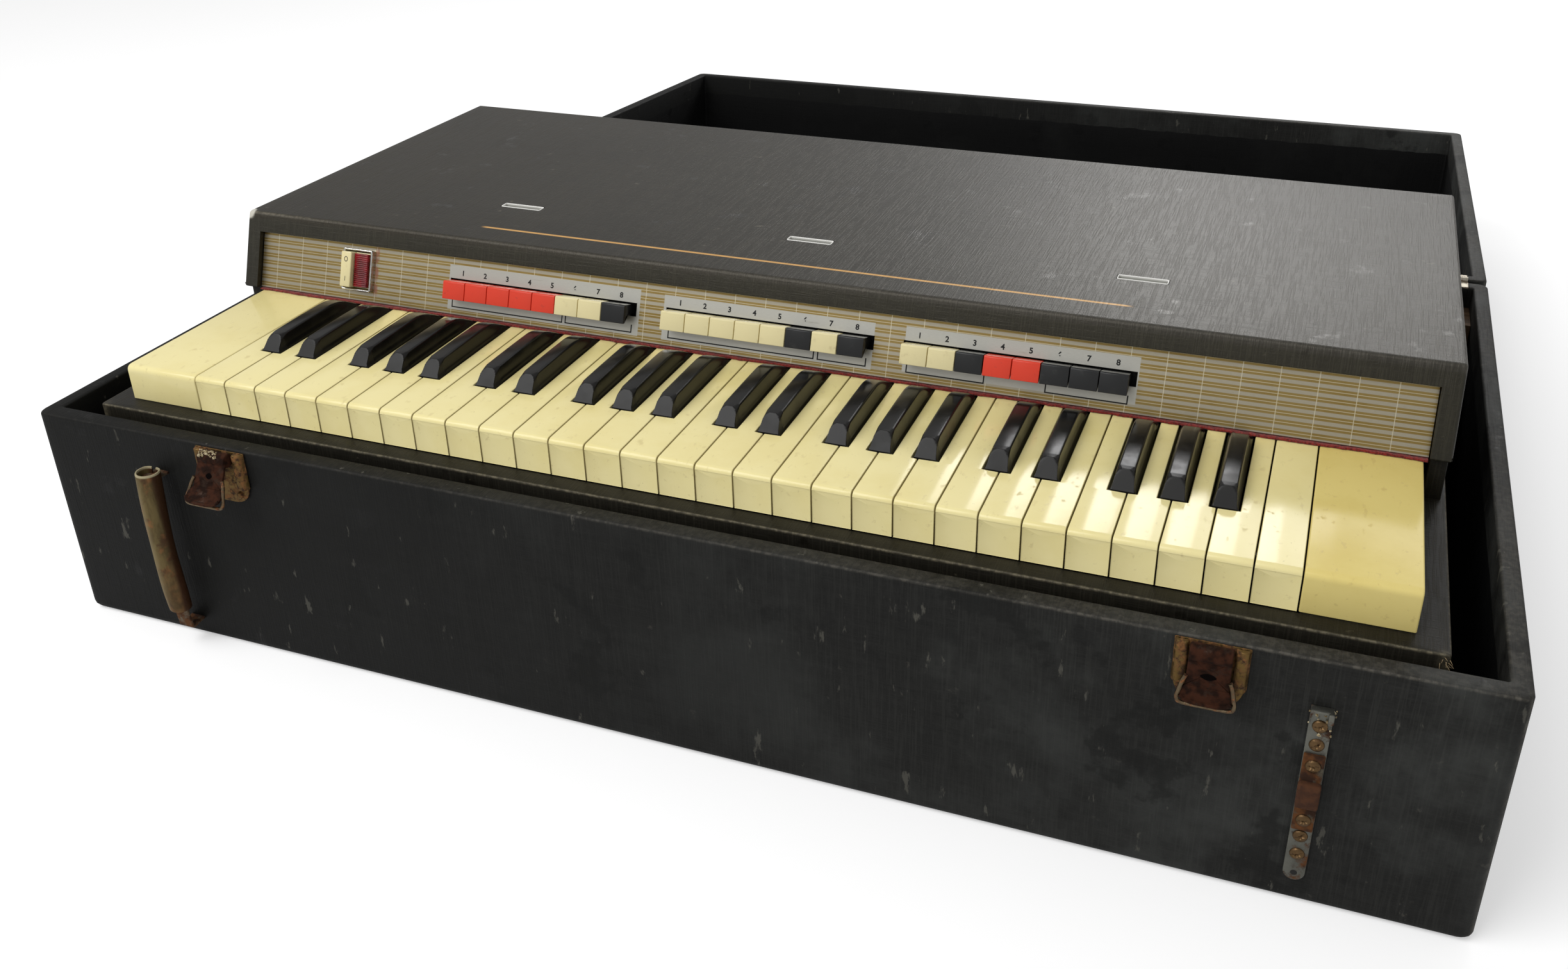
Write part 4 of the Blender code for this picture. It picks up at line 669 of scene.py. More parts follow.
def make_latch_plate(side, x):
    """The pressed back, its two wings and two studs."""
    brass = plated_steel("latch_brass_" + side, (0.17, 0.105, 0.036), 0.45, 0.46, (0.04, 0.018, 0.008),
                         (0.2, 0.09, 0.028), 0.005)
    foot, foot_half = LATCH_TOP - PLATE_TALL, PLATE_HALF - 0.0017
    back = fillet([(x - foot_half, foot), (x + foot_half, foot), (x + PLATE_HALF, LATCH_TOP),
                   (x - PLATE_HALF, LATCH_TOP)], (0.013, 0.013, 0.0008, 0.0008), 8)
    skins = [carried(back, LATCH_WALL - PLATE_SHEET, LATCH_WALL, 0.0004, "front", 2)]
    root, crown = LATCH_WALL - 0.0003, LATCH_WALL - WING_DEEP
    for sign in (-1, 1):
        inner, outer = x + sign * (PLATE_HALF - WING_WIDE), x + sign * PLATE_HALF
        bead = fillet([(inner, root), (inner, crown), (outer - sign * 0.0012, crown), (outer, root)],
                      (0.0003, 0.0018, 0.003, 0.0003), 4)
        skins.append(carried(bead, foot + 0.0112, LATCH_TOP - 0.0002, 0.001, "top", 3))
    for sign in (-1, 1):
        at, height = x + sign * 0.0105, foot + 0.0062
        skins.append(pin((at, LATCH_WALL - 0.0006, height), (at, LATCH_WALL - 0.003, height), 0.0022, 0.0006))
    add_piece("latch_plate_body_" + side, skins, brass, "case", ("latch_plate_" + side,))


def make_latch_flap(side, hang, finish):
    """The flap, made hanging and then swung out: its barrel, the upper half, the lower half sheared
    outwards below the crease, the wire lip round its foot, and a loop over the barrel."""
    lean = 0.1 if side == "right" else 0.5
    half, lip, crease, foot = FLAP_HALF, FLAP_LIP, FLAP_CREASE, 0.0006 - FLAP_LONG
    back = FLAP_FACE + FLAP_THICK
    upper = fillet([(-half, 0.0), (-half - 0.0003, crease), (half + 0.0003, crease), (half, 0.0)], 0.0003, 3)
    left_half = [(-half - 0.0003, crease + 0.0002), (-lip, crease - 0.004), (-lip * 0.93, crease - 0.0078),
                 (-lip * 0.5, -FLAP_LONG)]
    lower = fillet(left_half + [(-u, v) for u, v in left_half[::-1]],
                   (0.0003, 0.003, 0.003, 0.004, 0.004, 0.003, 0.003, 0.0003), 4)
    arc = [(-lip + 0.0008, crease - 0.0062), (-lip * 0.8, crease - 0.0084), (-lip * 0.45, foot)]
    arc = [(u, 0.0, v) for u, v in arc + [(-u, v) for u, v in arc[::-1]]]
    curled = [carried(lower, FLAP_FACE, back, 0.0005, "front", 3), wire(smooth_route(arc, 0.004), 0.0012)]
    curled[1][0][:, 1] += FLAP_FACE + 0.0004
    for skin in curled:
        skin[0][:, 1] -= lean * (crease - skin[0][:, 2])
    hook = [(-0.005, -0.0004, 0.003), (-0.005, -0.0006, 0.0043), (0.005, -0.0006, 0.0043),
            (0.005, -0.0004, 0.003)]
    skins = [carried(upper, FLAP_FACE, back, 0.0005, "front", 3),
             pin((-half, 0, 0.0003), (half, 0, 0.0003), BARREL + 0.0006, 0.0008, 20), *curled,
             wire(smooth_route(hook, 0.0012), 0.0008)]
    add_piece("latch_flap_body_" + side, [moved(skin, hang) for skin in skins], finish,
              "latch_lever_" + side, ("latch_lever_" + side,))


def make_latch_bail(side, hang):
    """The wire that runs down both edges of the flap and across in front of it."""
    bright = plated_steel("bail_wire_" + side, (0.17, 0.125, 0.075), 0.5, 0.36, size=0.004)
    top, low, drop = FLAP_HALF + 0.0012, FLAP_LIP + 0.0008, 0.014 - FLAP_LONG
    half = [(top - 0.0009, 0.0025), (top + 0.0003, -0.0004), (low, drop + 0.0036),
            (low - 0.0006, drop + 0.0006),
            (low - 0.0034, drop)]
    route = smooth_route([(u, -0.003, v - 0.015) for u, v in half + [(-u, v) for u, v in half[::-1]]], 0.0016)
    add_piece("latch_bail_wire_" + side, [moved(wire(route, 0.0011), hang)], bright, "latch_bail_" + side,
              ("latch_bail_" + side,))


def plain_finish(name, colour, roughness, specular=0.5):
    """A material of one colour."""
    material, shader, _, _ = new_finish(name, roughness, specular)
    feed(shader, "Base Color", (*colour, 1.0))
    return material


def make_keyhole(side, hang, finish):
    """A lens-shaped keyhole, wider on the right, between two thin raised arcs; the hole is a black plug, painted
    shade.
    """
    black = plain_finish("keyhole_black_" + side, (0.004, 0.003, 0.003), 0.9, 0.0)
    half, centre, mark = (0.004, -0.0115, "") if side == "right" else (0.0024, -0.0108, "_left")
    t = circle(24)
    lens = np.stack([half * np.cos(t), centre + 0.0012 * np.sin(t) + 0.0007 * np.sin(t) ** 3], 1)
    # The plug is a flat black disc that stands for the shade inside the hole.
    plug = carried(lens, FLAP_FACE - 0.0002, FLAP_FACE + 0.0008, 0.0001, "front", 1)
    add_piece("latch_keyhole" + mark, [moved(plug, hang)], black, "latch_lever_" + side)
    arcs = []
    for sign in (-1, 1):
        a = np.linspace(math.radians(35), math.radians(145), 14)
        path = np.stack([0.0052 * np.cos(a), np.full(14, FLAP_FACE + 0.0001),
                         centre + sign * 0.0042 * np.sin(a)], 1)
        arcs.append(moved(wire(path, 0.00035, around=6), hang))
    add_piece("latch_keyhole_ring" + mark, arcs, finish, "latch_lever_" + side)


def make_latch(side, x, swing):
    """One latch; what hangs from it is made straight and then swung out."""
    hang = Matrix.Translation((x, *LATCH_PIVOT)) @ Matrix.Rotation(-swing, 4, "X")
    steel = plated_steel("latch_flap_" + side, (0.04, 0.024, 0.017), 0.36, 0.42, (0.014, 0.0055, 0.003),
                         (0.044, 0.015, 0.0072), 0.009, 0.12)
    make_latch_plate(side, x)
    make_latch_flap(side, hang, steel)
    make_latch_bail(side, hang)
    make_keyhole(side, hang, steel)


for latch in LATCH_PLACES:
    make_latch(*latch)


def white_crust():
    """Zinc corrosion: chalky crumbs."""
    material, shader, place, _ = new_finish("white_crust", 0.95, 0.1)
    chalk = noise(place, 900.0, 4.0)
    feed(shader, "Base Color", tint(step_up(chalk, 0.35, 0.65), (0.2, 0.14, 0.062), (0.56, 0.48, 0.32)))
    emboss(shader, chalk, 0.0006, 0.8)
    return material


CRUST = white_crust()


def crumbs(name, centres, sizes, seed, body):
    """Crumbs of corrosion: small spheres r(1 + k n) with their surface pushed about by seeded noise."""
    draw = np.random.default_rng(seed)
    v = np.linspace(0.12, math.pi - 0.12, 7)
    u = circle(9)
    ball = np.stack([np.outer(np.sin(v), np.cos(u)), np.outer(np.sin(v), np.sin(u)),
                     np.outer(np.cos(v), np.ones(9))], -1)
    skins = [shell(np.array(centre) + ball * size * (1 + 0.35 * draw.standard_normal((7, 9, 1))))
             for centre, size in zip(centres, sizes)]
    add_piece(name, skins, CRUST, body, sharp=80.0)


def crust_latch():
    """Crumbs along the left half of the left barrel, on the side that faces up when it is swung out."""
    draw = np.random.default_rng(4)
    _, x, swing = LATCH_PLACES[0]
    count, radius = 24, 0.0046
    centres = []
    for along in np.linspace(-0.0096, 0.0035, count):
        a = draw.uniform(0.15, 1.1)
        out, up = -radius * math.cos(a), radius * math.sin(a)
        centres.append((x + along, LATCH_PIVOT[0] + out * math.cos(swing) + up * math.sin(swing),
                        LATCH_PIVOT[1] - out * math.sin(swing) + up * math.cos(swing)))
    crumbs("latch_crust_left", centres, draw.uniform(0.0005, 0.001, count), 5, "latch_lever_left")


crust_latch()

# Handles. On the left a sheet-metal grip, folded from leather-brown lacquered steel round a strap,
# has rusted and peeled open at its top. On the right only the strap, its plates and screws are left.
DARK_RUST = (0.032, 0.013, 0.006)
BROWN_RUST = (0.11, 0.042, 0.012)
STRAP_X, STRAP_HALF, STRAP_FEET = -0.3508, 0.0055, (0.1283, 0.0156)
GRIP_LOW, GRIP_HIGH, GRIP_RADIUS, GRIP_SHEET = 0.031, 0.1337, 0.0074, 0.0012


def make_grip_look():
    """Tan lacquer worn from brown steel, rustier towards its foot, with painted shade on its far side and
    painted light on its near side.
    """
    material, shader, place, parts = new_finish("grip_lacquer", 0.55, 0.12)
    rust = shared(RUST, Vector=place, Size=0.014, Level=0.5)
    worn = grime(stretched(place, (1.0, 1.0, 0.22)), 0.006, 0.4, 0.25)
    lacquer = tint(worn, (0.128, 0.094, 0.037), (0.072, 0.05, 0.019))
    brown = tint(rust["Shade"], (0.06, 0.026, 0.012), (0.21, 0.088, 0.032))
    low = step_up(times(parts[2], -1.0), -0.085, -0.035)
    across = plus(times(parts[0], 0.66), times(parts[1], 0.75))
    far_side_shade = step_up(across, -0.4376, -0.434)
    near_side_light = step_up(times(across, -1.0), 0.4425, 0.4455)
    shade = tint(largest(times(rust["Mask"], 0.75), times(low, 0.45)), lacquer, brown)
    # Painted light on the near side and painted shade on the far side.
    shade = tint(near_side_light, shade, (0.235, 0.185, 0.09), 0.45)
    shade = tint(far_side_shade, shade, (0.034, 0.012, 0.005), 0.92)
    shade = tint(step_up(parts[2], 0.1325, 0.1335), shade, (0.36, 0.31, 0.19))
    feed(shader, "Base Color", shade)
    emboss(shader, rust["Pits"], 0.0005, 0.6)
    return material


def grip_stand(z):
    """How far the left handle stands off the wall at a height: a shallow arch over its length."""
    share = np.clip((0.1362 - z) / 0.1215, 0, 1)
    return 0.011 + 0.003 * (1 - (2 * share - 1) ** 2)


def make_left_strap():
    """The strap, arched off the wall between two feet."""
    steel = plated_steel("handle_steel", (0.16, 0.13, 0.09), 0.42, 0.5, DARK_RUST, BROWN_RUST, 0.01)
    z = np.linspace(0.1292, 0.0147, 40)
    route = np.concatenate([[[-0.2624, STRAP_FEET[0]]], np.stack([-0.262 - grip_stand(z), z], 1),
                            [[-0.2624, STRAP_FEET[1]]]])
    route = smooth_route(np.column_stack([np.full(len(route), STRAP_X), route]), 0.003, 4)
    outward = np.cross(unit(np.gradient(route, axis=0)), (1.0, 0.0, 0.0))
    section = fillet(rectangle(-STRAP_HALF, STRAP_HALF, -0.0009, 0.0009), 0.0006, 3)
    across, out = section[None, :, :1], section[None, :, 1:]
    loops = route[:, None] + across * np.array([1.0, 0, 0]) + out * outward[:, None]
    feet = [block((STRAP_X - STRAP_HALF, -0.2638, height - 0.0009),
                  (STRAP_X + STRAP_HALF, -0.262, height + 0.0009),
                  0.0004, 2) for height in STRAP_FEET]
    add_piece("handle_left_strap", [shell(loops), *feet], steel, "case", ("handle_strap_left",))


def make_left_grip():
    """The rolled grip round the strap. Its section is r (1 - curl) along a C from one lip to the
    other, its radius swelling at the top; each end closes on a ring drawn in to the sheet's middle."""
    open_half = math.radians(18)
    around = np.linspace(math.pi / 2 + open_half, math.pi / 2 + 2 * math.pi - open_half, 40)
    n = len(around)
    loops = []
    for height in np.linspace(GRIP_LOW, GRIP_HIGH, 46):
        share = (height - GRIP_LOW) / (GRIP_HIGH - GRIP_LOW)
        radius = GRIP_RADIUS + 0.0004 * math.sin(share * 9.0) * (1 - share) + 0.0003 * share
        squash = 1.0 - 0.1 * (1 - share)
        curl = np.clip(np.abs(around - 1.5 * math.pi) - 2.2, 0, 1) * 0.25
        outer = radius * (1 - curl * share)
        outside, inside = (np.stack([r * np.cos(around), squash * r * np.sin(around)], 1)
                           for r in (outer, outer - GRIP_SHEET))
        flat = np.concatenate([outside, inside[::-1]])
        centre = -0.262 - grip_stand(height)
        loops.append(np.column_stack([STRAP_X + flat[:, 0], centre + flat[:, 1], np.full(2 * n, height)]))
    rims = []
    for ring, shift in ((loops[0], -0.0005), (loops[-1], 0.0005)):
        middle = (ring + ring[::-1]) / 2
        rim = middle + (ring - middle) * 0.55
        rim[:, 2] += shift
        rims.append(rim)
    points, quads, _ = shell([rims[0], *loops, rims[1]])
    caps = []
    for start in (0, (len(loops) + 1) * 2 * n):
        a = start + np.arange(n - 1)
        b = start + 2 * n - 1 - np.arange(n - 1)
        caps.append(np.stack([a, a + 1, b - 1, b], -1))
    grip = (points[:-2], np.concatenate([quads, *caps]), np.zeros((0, 3), int))
    add_piece("handle_left_grip", [grip], make_grip_look(), "handle_grip_left",
              ("handle_sleeve_left",), 50.0)


def slotted_screw(x, y, z, radius, turn):
    """A domed screw head facing the player with a slot across it."""
    ring = circle(20)
    loops = []
    for angle in quarter(6):
        size, out = radius * math.cos(angle) + 0.00002, radius * 0.45 * math.sin(angle)
        u, v = size * np.cos(ring), size * np.sin(ring)
        slot = np.abs(u * math.sin(turn) - v * math.cos(turn)) < radius * 0.16
        depth = np.where(slot, np.minimum(out, radius * 0.12), out)
        loops.append(np.stack([x + u, y - depth, z + v], 1))
    return shell([loops[0] + np.array([0, 0.0012, 0]), *loops])


def make_right_handle():
    """End plate with its bracket, strap, middle block and six screws; a hole in the rounded foot, a dark plug as
    painted shade.
    """
    x, top, half = 0.3588, 0.1287, STRAP_HALF
    foot, wall, face = top - 0.112, -0.2623, -0.2638
    middle, hole_z = top - 0.0525, foot + half - 0.0005
    a = np.linspace(math.pi, 2 * math.pi, 18)
    outer = np.concatenate([[(x + half, top - 0.0005), (x - half, top - 0.0005)],
                            np.stack([x + half * np.cos(a), foot + half + half * np.sin(a)], 1)])
    plate = carried(outer, face, wall, 0.0004, "front", 2)
    bracket = block((x - half, face - 0.0038, top - 0.0016), (x + half, face + 0.0008, top), 0.0005, 2)
    spur = block((x + half - 0.0026, face - 0.005, top - 0.006), (x + half + 0.0002, face - 0.0026, top),
                 0.0006, 2)
    strap = block((x - half + 0.0003, face - 0.0018, 0.0516), (x + half - 0.0003, face + 0.0004, 0.1), 0.0006,
                  3)
    raised = block((x - half - 0.0001, face - 0.0056, middle - 0.0078),
                   (x + half + 0.0001, face - 0.001, middle + 0.0078), 0.0014, 4)
    screws = [slotted_screw(x, face - out - 0.0001, top - drop, 0.0038, turn) for drop, turn, out in
              ((0.0115, 0.5, 0), (0.023, 0.9, 0), (0.035, 0.2, 0.0018), (0.07, 0.3, 0.0018), (0.082, 0.8, 0),
               (0.094, 0.4, 0))]
    # The hole is a dark plug, not an opening: painted shade.
    hole = pin((x, face - 0.00005, hole_z), (x, face + 0.0008, hole_z), 0.0019, 0.0003)
    rusted = plated_steel("strap_rust", (0.12, 0.108, 0.08), 0.36, 0.55, DARK_RUST, (0.125, 0.046, 0.012),
                          0.012)
    zinc = plated_steel("strap_zinc", (0.18, 0.18, 0.155), 0.53, 0.52, DARK_RUST, BROWN_RUST, 0.01)
    brown = plated_steel("strap_block", (0.075, 0.032, 0.016), 0.34, 0.5, (0.048, 0.019, 0.009),
                         (0.078, 0.03, 0.012), 0.01)
    heads = plated_steel("strap_screws", (0.15, 0.092, 0.044), 0.56, 0.42, (0.045, 0.018, 0.008),
                         (0.12, 0.05, 0.016), 0.008)
    add_piece("handle_right_plate", [plate, bracket, spur], zinc, "case",
              ("handle_strap_right",))
    add_piece("handle_right_strap", [strap], rusted, "case")
    add_piece("handle_right_block", [raised], brown, "case")
    add_piece("handle_right_screws", screws, heads, "case", sharp=50.0)
    add_piece("handle_right_hole", [hole], plain_finish("screw_hole_shade", (0.006, 0.005, 0.004), 0.8), "case")
    draw = np.random.default_rng(9)
    spots = [(x + draw.uniform(-0.006, 0.0065), face - 0.001, top + draw.uniform(-0.017, 0.0004))
             for _ in range(16)]
    crumbs("handle_crust", spots, draw.uniform(0.0003, 0.0008, 16), 10, "case")


make_left_strap()
make_left_grip()
make_right_handle()

# Organ base. The board that the keys are screwed to is covered in the hood's vinyl, turned olive
# with age; its front slip stands before the keys and its right front corner has torn open. The
# well behind the slip is where the keys' fronts travel.
BOARD_LOW = np.array([-0.412, -0.242, 0.1387])
BOARD_HIGH = np.array([0.412, 0.2333, 0.1572])
BOARD_WELL = (0.0702, 0.0702, 0.0132, 0.018)
BOARD_FLOOR, BOARD_CORNER, BOARD_RIM = 0.0085, 0.0016, 0.0008
WELL_HALF = 0.3418
KEY_FRONT = -0.229
KEY_BED = 0.1577
HOOD_FOOT = 0.1839
HOOD_HALF = 0.4105
HOOD_INSIDE = 0.399


def make_board_cloth():
    """Olive-charcoal vinyl with a pale rubbed line along the slip's front edge."""
    material, shader, place, (x, y, z) = new_finish("board_cloth", 0.5, 0.2)
    wide = calc("ABSOLUTE", x)
    front_edge = times(near_to(y, BOARD_LOW[1], 0.0016), near_to(z, BOARD_HIGH[2], 0.0018))
    side_edge = times(near_to(wide, BOARD_HIGH[0], 0.0014), near_to(z, BOARD_HIGH[2], 0.0016))
    corner = times(near_to(wide, BOARD_HIGH[0], 0.008), near_to(y, BOARD_LOW[1], 0.008))
    wear = largest(front_edge, times(side_edge, 0.7), times(corner, 0.55))
    shade = vinyl_look(shader, place, (0.0085, 0.0075, 0.005), (0.022, 0.0195, 0.0135), (0.15, 0.13, 0.085),
                       wear)
    well = times(within(wide, -1.0, WELL_HALF, 0.0002), step_up(y, -0.2289, -0.2286))
    feed(shader, "Base Color", tint(well, shade, (0.012, 0.008, 0.006)))
    return material


def make_base_board():
    """The board as a shallow tray whose well is open at the top, and the uprights under the hood."""
    low, high, rear = BOARD_HIGH[2] - 0.0005, HOOD_FOOT - 0.0003, 0.2318
    skins = [shell(tray_loops(BOARD_LOW, BOARD_HIGH, BOARD_WELL, BOARD_FLOOR, BOARD_CORNER, BOARD_RIM))]
    for side in (-1, 1):
        x0, x1 = sorted((side * (HOOD_INSIDE + 0.0004), side * (HOOD_HALF - 0.0015)))
        skins.append(block((x0, -0.091, low), (x1, rear, high), 0.0008, 2))
    skins.append(block((-HOOD_HALF + 0.0015, 0.2243, low), (HOOD_HALF - 0.0015, rear, high), 0.0008, 2))
    add_piece("base_board_covered", skins, make_board_cloth(), "case", ("base_board",))


def make_torn_corner():
    """Frayed vinyl fibres and bare wood at the board's right front corner: thin tapering threads
    p(t) = corner + t d + t^2 droop, in seeded directions."""
    material, shader, place, _ = new_finish("torn_fibre", 0.9, 0.2)
    feed(shader, "Base Color", tint(noise(place, 700.0), (0.1, 0.065, 0.035), (0.34, 0.26, 0.15)))
    draw = np.random.default_rng(21)
    section = np.stack([np.cos(circle(5)), np.sin(circle(5)), np.zeros(5)], 1)
    t = np.linspace(0, 1, 6)[:, None]
    skins = []
    for _ in range(26):
        corner = np.array([0.4095 + draw.uniform(-0.003, 0.0015), -0.2408 + draw.uniform(-0.0008, 0.004),
                           0.1535 + draw.uniform(-0.008, 0.0025)])
        reach = np.array([draw.uniform(-0.4, 1.0), draw.uniform(-1.0, 0.3), draw.uniform(-0.3, 0.4)]) * 0.0034
        route = corner + t * reach + t ** 2 * np.array([0, 0, -0.0012])
        radius = 0.00034 * (1 - 0.7 * t[:, 0])
        skins.append(shell(route[:, None] + radius[:, None, None] * section[None]))
    add_piece("board_torn_corner", skins, material, "case", sharp=80.0)


make_base_board()
make_torn_corner()

# Keys. Twenty-nine full-size naturals and twenty sharps, moulded in plastic that has yellowed, and
# carried in combs. The naturals' tops turn over a rounded nose; the sharps have a flared foot, a
# sloping front with an arched outline, and a crest that falls away at the back.
PITCH = 0.0235
KEY_GAP = 0.0008
KEY_TALL = 0.0238
KEY_SKIRT = 0.012
KEY_NOSE = 0.003
KEY_END = 0.1995
FIRST_KEY = -0.34075
KEY_TOP = KEY_BED + KEY_TALL
SHARP_CENTRES = (0.92, 2.1, 3.88, 5.02, 6.17)
SHARP_FRONT, SHARP_CREST_END, SHARP_BACK, SHARP_RISE = 0.048, 0.11, 0.1345, 0.0092
SHARP_NOTCH = 0.0082
COMB_START, COMB_STEP = 0.215, 0.009
CHEEK_INNER, CHEEK_OUTER = 0.34115, 0.39625
CHEEK_FOOT, CHEEK_END = 0.1575, -0.079


def make_ivory(name, base, aged, stain, shift, gloss=0.3):
    """Yellowed plastic: slow cloudy ageing, darker towards the hood, brown specks and smears, and
    painted shade on the keys' sides in the gaps between them."""
    material, shader, place, (x, y, _) = new_finish(name, 0.13, gloss)
    place = put("ShaderNodeVectorMath", {0: place, 1: (shift, 0, 0)}, operation="ADD").outputs[0]
    drawn = stretched(place, (1.0, 0.55, 1.0))
    smear = grime(drawn, 0.0045, 0.6, 0.1)
    age = plus(times(grime(place, 0.055, 0.4, 0.3), 0.45), times(step_up(y, -0.2, -0.1), 0.45))
    shade = tint(calc("MINIMUM", age, 1.0), base, aged)
    shade = tint(smear, shade, stain, 0.3)
    shade = tint(grime(drawn, 0.0016, 0.7, 0.04), shade, scaled(stain, 0.5), 0.45)
    # The keys' sides are painted dark brown where they face the gaps: painted shade between the keys.
    column = calc("FRACT", calc("DIVIDE", minus(x, FIRST_KEY - 0.5 * PITCH), PITCH))
    gap_shade = times(near_to(column, 0.5, 0.034), step_up(calc("ABSOLUTE", x), 0.342, 0.3405))
    feed(shader, "Base Color", tint(gap_shade, shade, (0.055, 0.026, 0.012), 0.85))
    feed(shader, "Roughness", plus(0.13, times(smear, 0.22)))
    emboss(shader, noise(place, 26.0), 0.0006, 0.1)
    return material


def make_sharp_black():
    """Glossy black plastic, duller on the sloping front, finger-dulled on the crests and dusty."""
    material, shader, place, (_, y, _) = new_finish("sharp_black", 0.2, 0.26)
    haze = grime(place, 0.02, 0.42, 0.25)
    shade = tint(haze, (0.0065, 0.0062, 0.0058), (0.014, 0.0135, 0.012), 0.6)
    feed(shader, "Base Color", tint(grime(place, 0.0016, 0.66, 0.08), shade, (0.1, 0.09, 0.07), 0.25))
    feed(shader, "Roughness", plus(ramp(y, -0.1735, -0.171, 0.36, 0.17), times(haze, 0.1)))
    return material


def upright_ring(y, x0, x1, z0, z1, edge):
    """A key's cross-section at y: a rectangle whose upper corners are quarter circles of the edge's
    radius."""
    a = quarter(4)
    right = np.stack([x1 - edge + edge * np.cos(a), z1 - edge + edge * np.sin(a)], 1)
    left = np.stack([x0 + edge - edge * np.sin(a), z1 - edge + edge * np.cos(a)], 1)
    flat = np.concatenate([[(x0, z0), (x1, z0)], right, left])
    return np.column_stack([flat[:, 0], np.full(len(flat), y), flat[:, 1]])


def key_tail(middle, bar):
    """The bar that runs back from a key to its comb, and the foot under its end."""
    start = KEY_FRONT + COMB_START + bar * COMB_STEP
    low, high = middle - 0.004, middle + 0.004
    return [block((low, KEY_FRONT + 0.199, KEY_BED + 0.01), (high, start + 0.005, KEY_BED + 0.016), 0.0005, 2),
            block((low, start, KEY_BED + 0.0032), (high, start + 0.005, KEY_BED + 0.0105), 0.0005, 2)]


def natural_skins(index, bar):
    """One white key's head and body, and its tail."""
    left = tail_left = index * PITCH + KEY_GAP / 2
    right = tail_right = (index + 1) * PITCH - KEY_GAP / 2
    octave = index // 7
    for centre in SHARP_CENTRES if octave < 4 else ():
        middle = (octave * 7 + centre) * PITCH
        if left < middle + SHARP_NOTCH < right:
            tail_left = middle + SHARP_NOTCH
        if left < middle - SHARP_NOTCH < right:
            tail_right = middle - SHARP_NOTCH
    shoulder = KEY_TALL - KEY_NOSE
    rings = [upright_ring(0.0003, left + 0.0004, right - 0.0004, 0.0004, shoulder - 0.0002, 0.0003)]
    rings += [upright_ring(KEY_NOSE * (1 - math.cos(a)), left, right, 0.0, shoulder + KEY_NOSE * math.sin(a),
                           0.0005)
              for a in quarter(7)[:-1]]
    rings += [upright_ring(y, left, right, floor, KEY_TALL, 0.0005) for y, floor in
              ((KEY_NOSE, 0.0), (0.0032, KEY_SKIRT), (0.025, KEY_SKIRT), (0.0468, KEY_SKIRT))]
    rings += [upright_ring(y, tail_left, tail_right, KEY_SKIRT, KEY_TALL, 0.0005)
              for y in (0.0472, 0.09, 0.15, KEY_END)]
    loops = np.stack(rings) + np.array([FIRST_KEY, KEY_FRONT, KEY_BED])
    return [shell(loops), *key_tail(FIRST_KEY + (tail_left + tail_right) / 2, bar)]


def sharp_skins(octave, centre, bar):
    """One black key. The section's half width runs from the flared foot up to an arched or rounded
    top; near the front the top is cut by the sloping face z = k (y - front)."""
    middle = FIRST_KEY + (octave * 7 + centre) * PITCH
    front, crest_end, back = SHARP_FRONT, SHARP_CREST_END, SHARP_BACK
    foot_half, waist, shoulder = 0.007, 0.0062, 0.0049
    loops = []
    for y in np.concatenate([np.linspace(front, front + 0.014, 29), np.linspace(front + 0.018, crest_end, 10),
                             np.linspace(crest_end + 0.003, back, 9)]):
        fall = np.clip((y - crest_end) / (back - crest_end), 0, 1)
        crest = KEY_TALL + SHARP_RISE * (1 - fall ** 1.7) + 0.0002
        crest += 0.0006 * math.sin(math.pi * np.clip((y - front) / (back - front), 0, 1))
        corner = np.interp(y, (front + 0.007, front + 0.012), (0.0042, 0.0014))
        tall = max(crest - KEY_TALL, 0.0006)
        up = np.linspace(0, 1, 6)[1:] * max(crest - corner - KEY_TALL, 0.0002)
        side_x = waist + (shoulder - waist) * up / tall + (foot_half - waist) * np.exp(-up / 0.0009)
        side_z = KEY_TALL + up
        a = quarter(7)[1:]
        right_x = np.concatenate([[foot_half, foot_half], side_x, side_x[-1] - corner * (1 - np.cos(a))])
        right_z = np.concatenate([[KEY_SKIRT, KEY_TALL - 0.0002], side_z,
                                  side_z[-1] + min(corner, crest - side_z[-1]) * np.sin(a)])
        right_x = np.maximum(right_x, 0.0)
        right_z = np.minimum(right_z, KEY_TALL + 0.0003 + (y - front) * 1.15)
        ring_x = np.concatenate([right_x, -right_x[::-1]])
        ring_z = np.concatenate([right_z, right_z[::-1]])
        loops.append(np.column_stack([middle + ring_x, np.full(len(ring_x), KEY_FRONT + y), KEY_BED + ring_z]))
    for y in (back + 0.0002, KEY_END):
        flat = loops[-1].copy()
        flat[:, 1] = KEY_FRONT + y
        flat[:, 2] = np.minimum(flat[:, 2], KEY_BED + KEY_TALL - 0.0008)
        loops.append(flat)
    return [shell(loops), *key_tail(middle, bar)]


def add_comb(piece, node, skins, bar, finish, sharp):
    """One comb: its keys' skins, three to a key, and the bar behind the pivots that joins them."""
    start = KEY_FRONT + COMB_START + bar * COMB_STEP
    first, last = skins[1][0][:, 0].min(), skins[-2][0][:, 0].max()
    joint = block((first, start + 0.0002, KEY_BED + 0.0031), (last, start + 0.0048, KEY_BED + 0.0078), 0.0006,
                  2)
    add_piece(piece, skins + [joint], finish, node, (node,), sharp)


def make_keys():
    """Three combs to an octave, then the top C."""
    ivory, black = IVORY, make_sharp_black()
    for octave in range(4):
        number = octave + 1
        for suffix, steps, bar in (("c_e_g_b", (0, 2, 4, 6), 0), ("d_f_a", (1, 3, 5), 1)):
            skins = [skin for step in steps for skin in natural_skins(octave * 7 + step, bar)]
            add_comb("naturals_%d_%s" % (number, suffix), "keys_%d_%s" % (number, suffix), skins, bar, ivory,
                     40.0)
        skins = [skin for centre in SHARP_CENTRES for skin in sharp_skins(octave, centre, 2)]
        add_comb("sharps_%d" % number, "keys_%d_sharps" % number, skins, 2, black, 30.0)
    add_piece("natural_top_c", natural_skins(28, 0), ivory, "key_top_c", ("key_top_c",), 40.0)


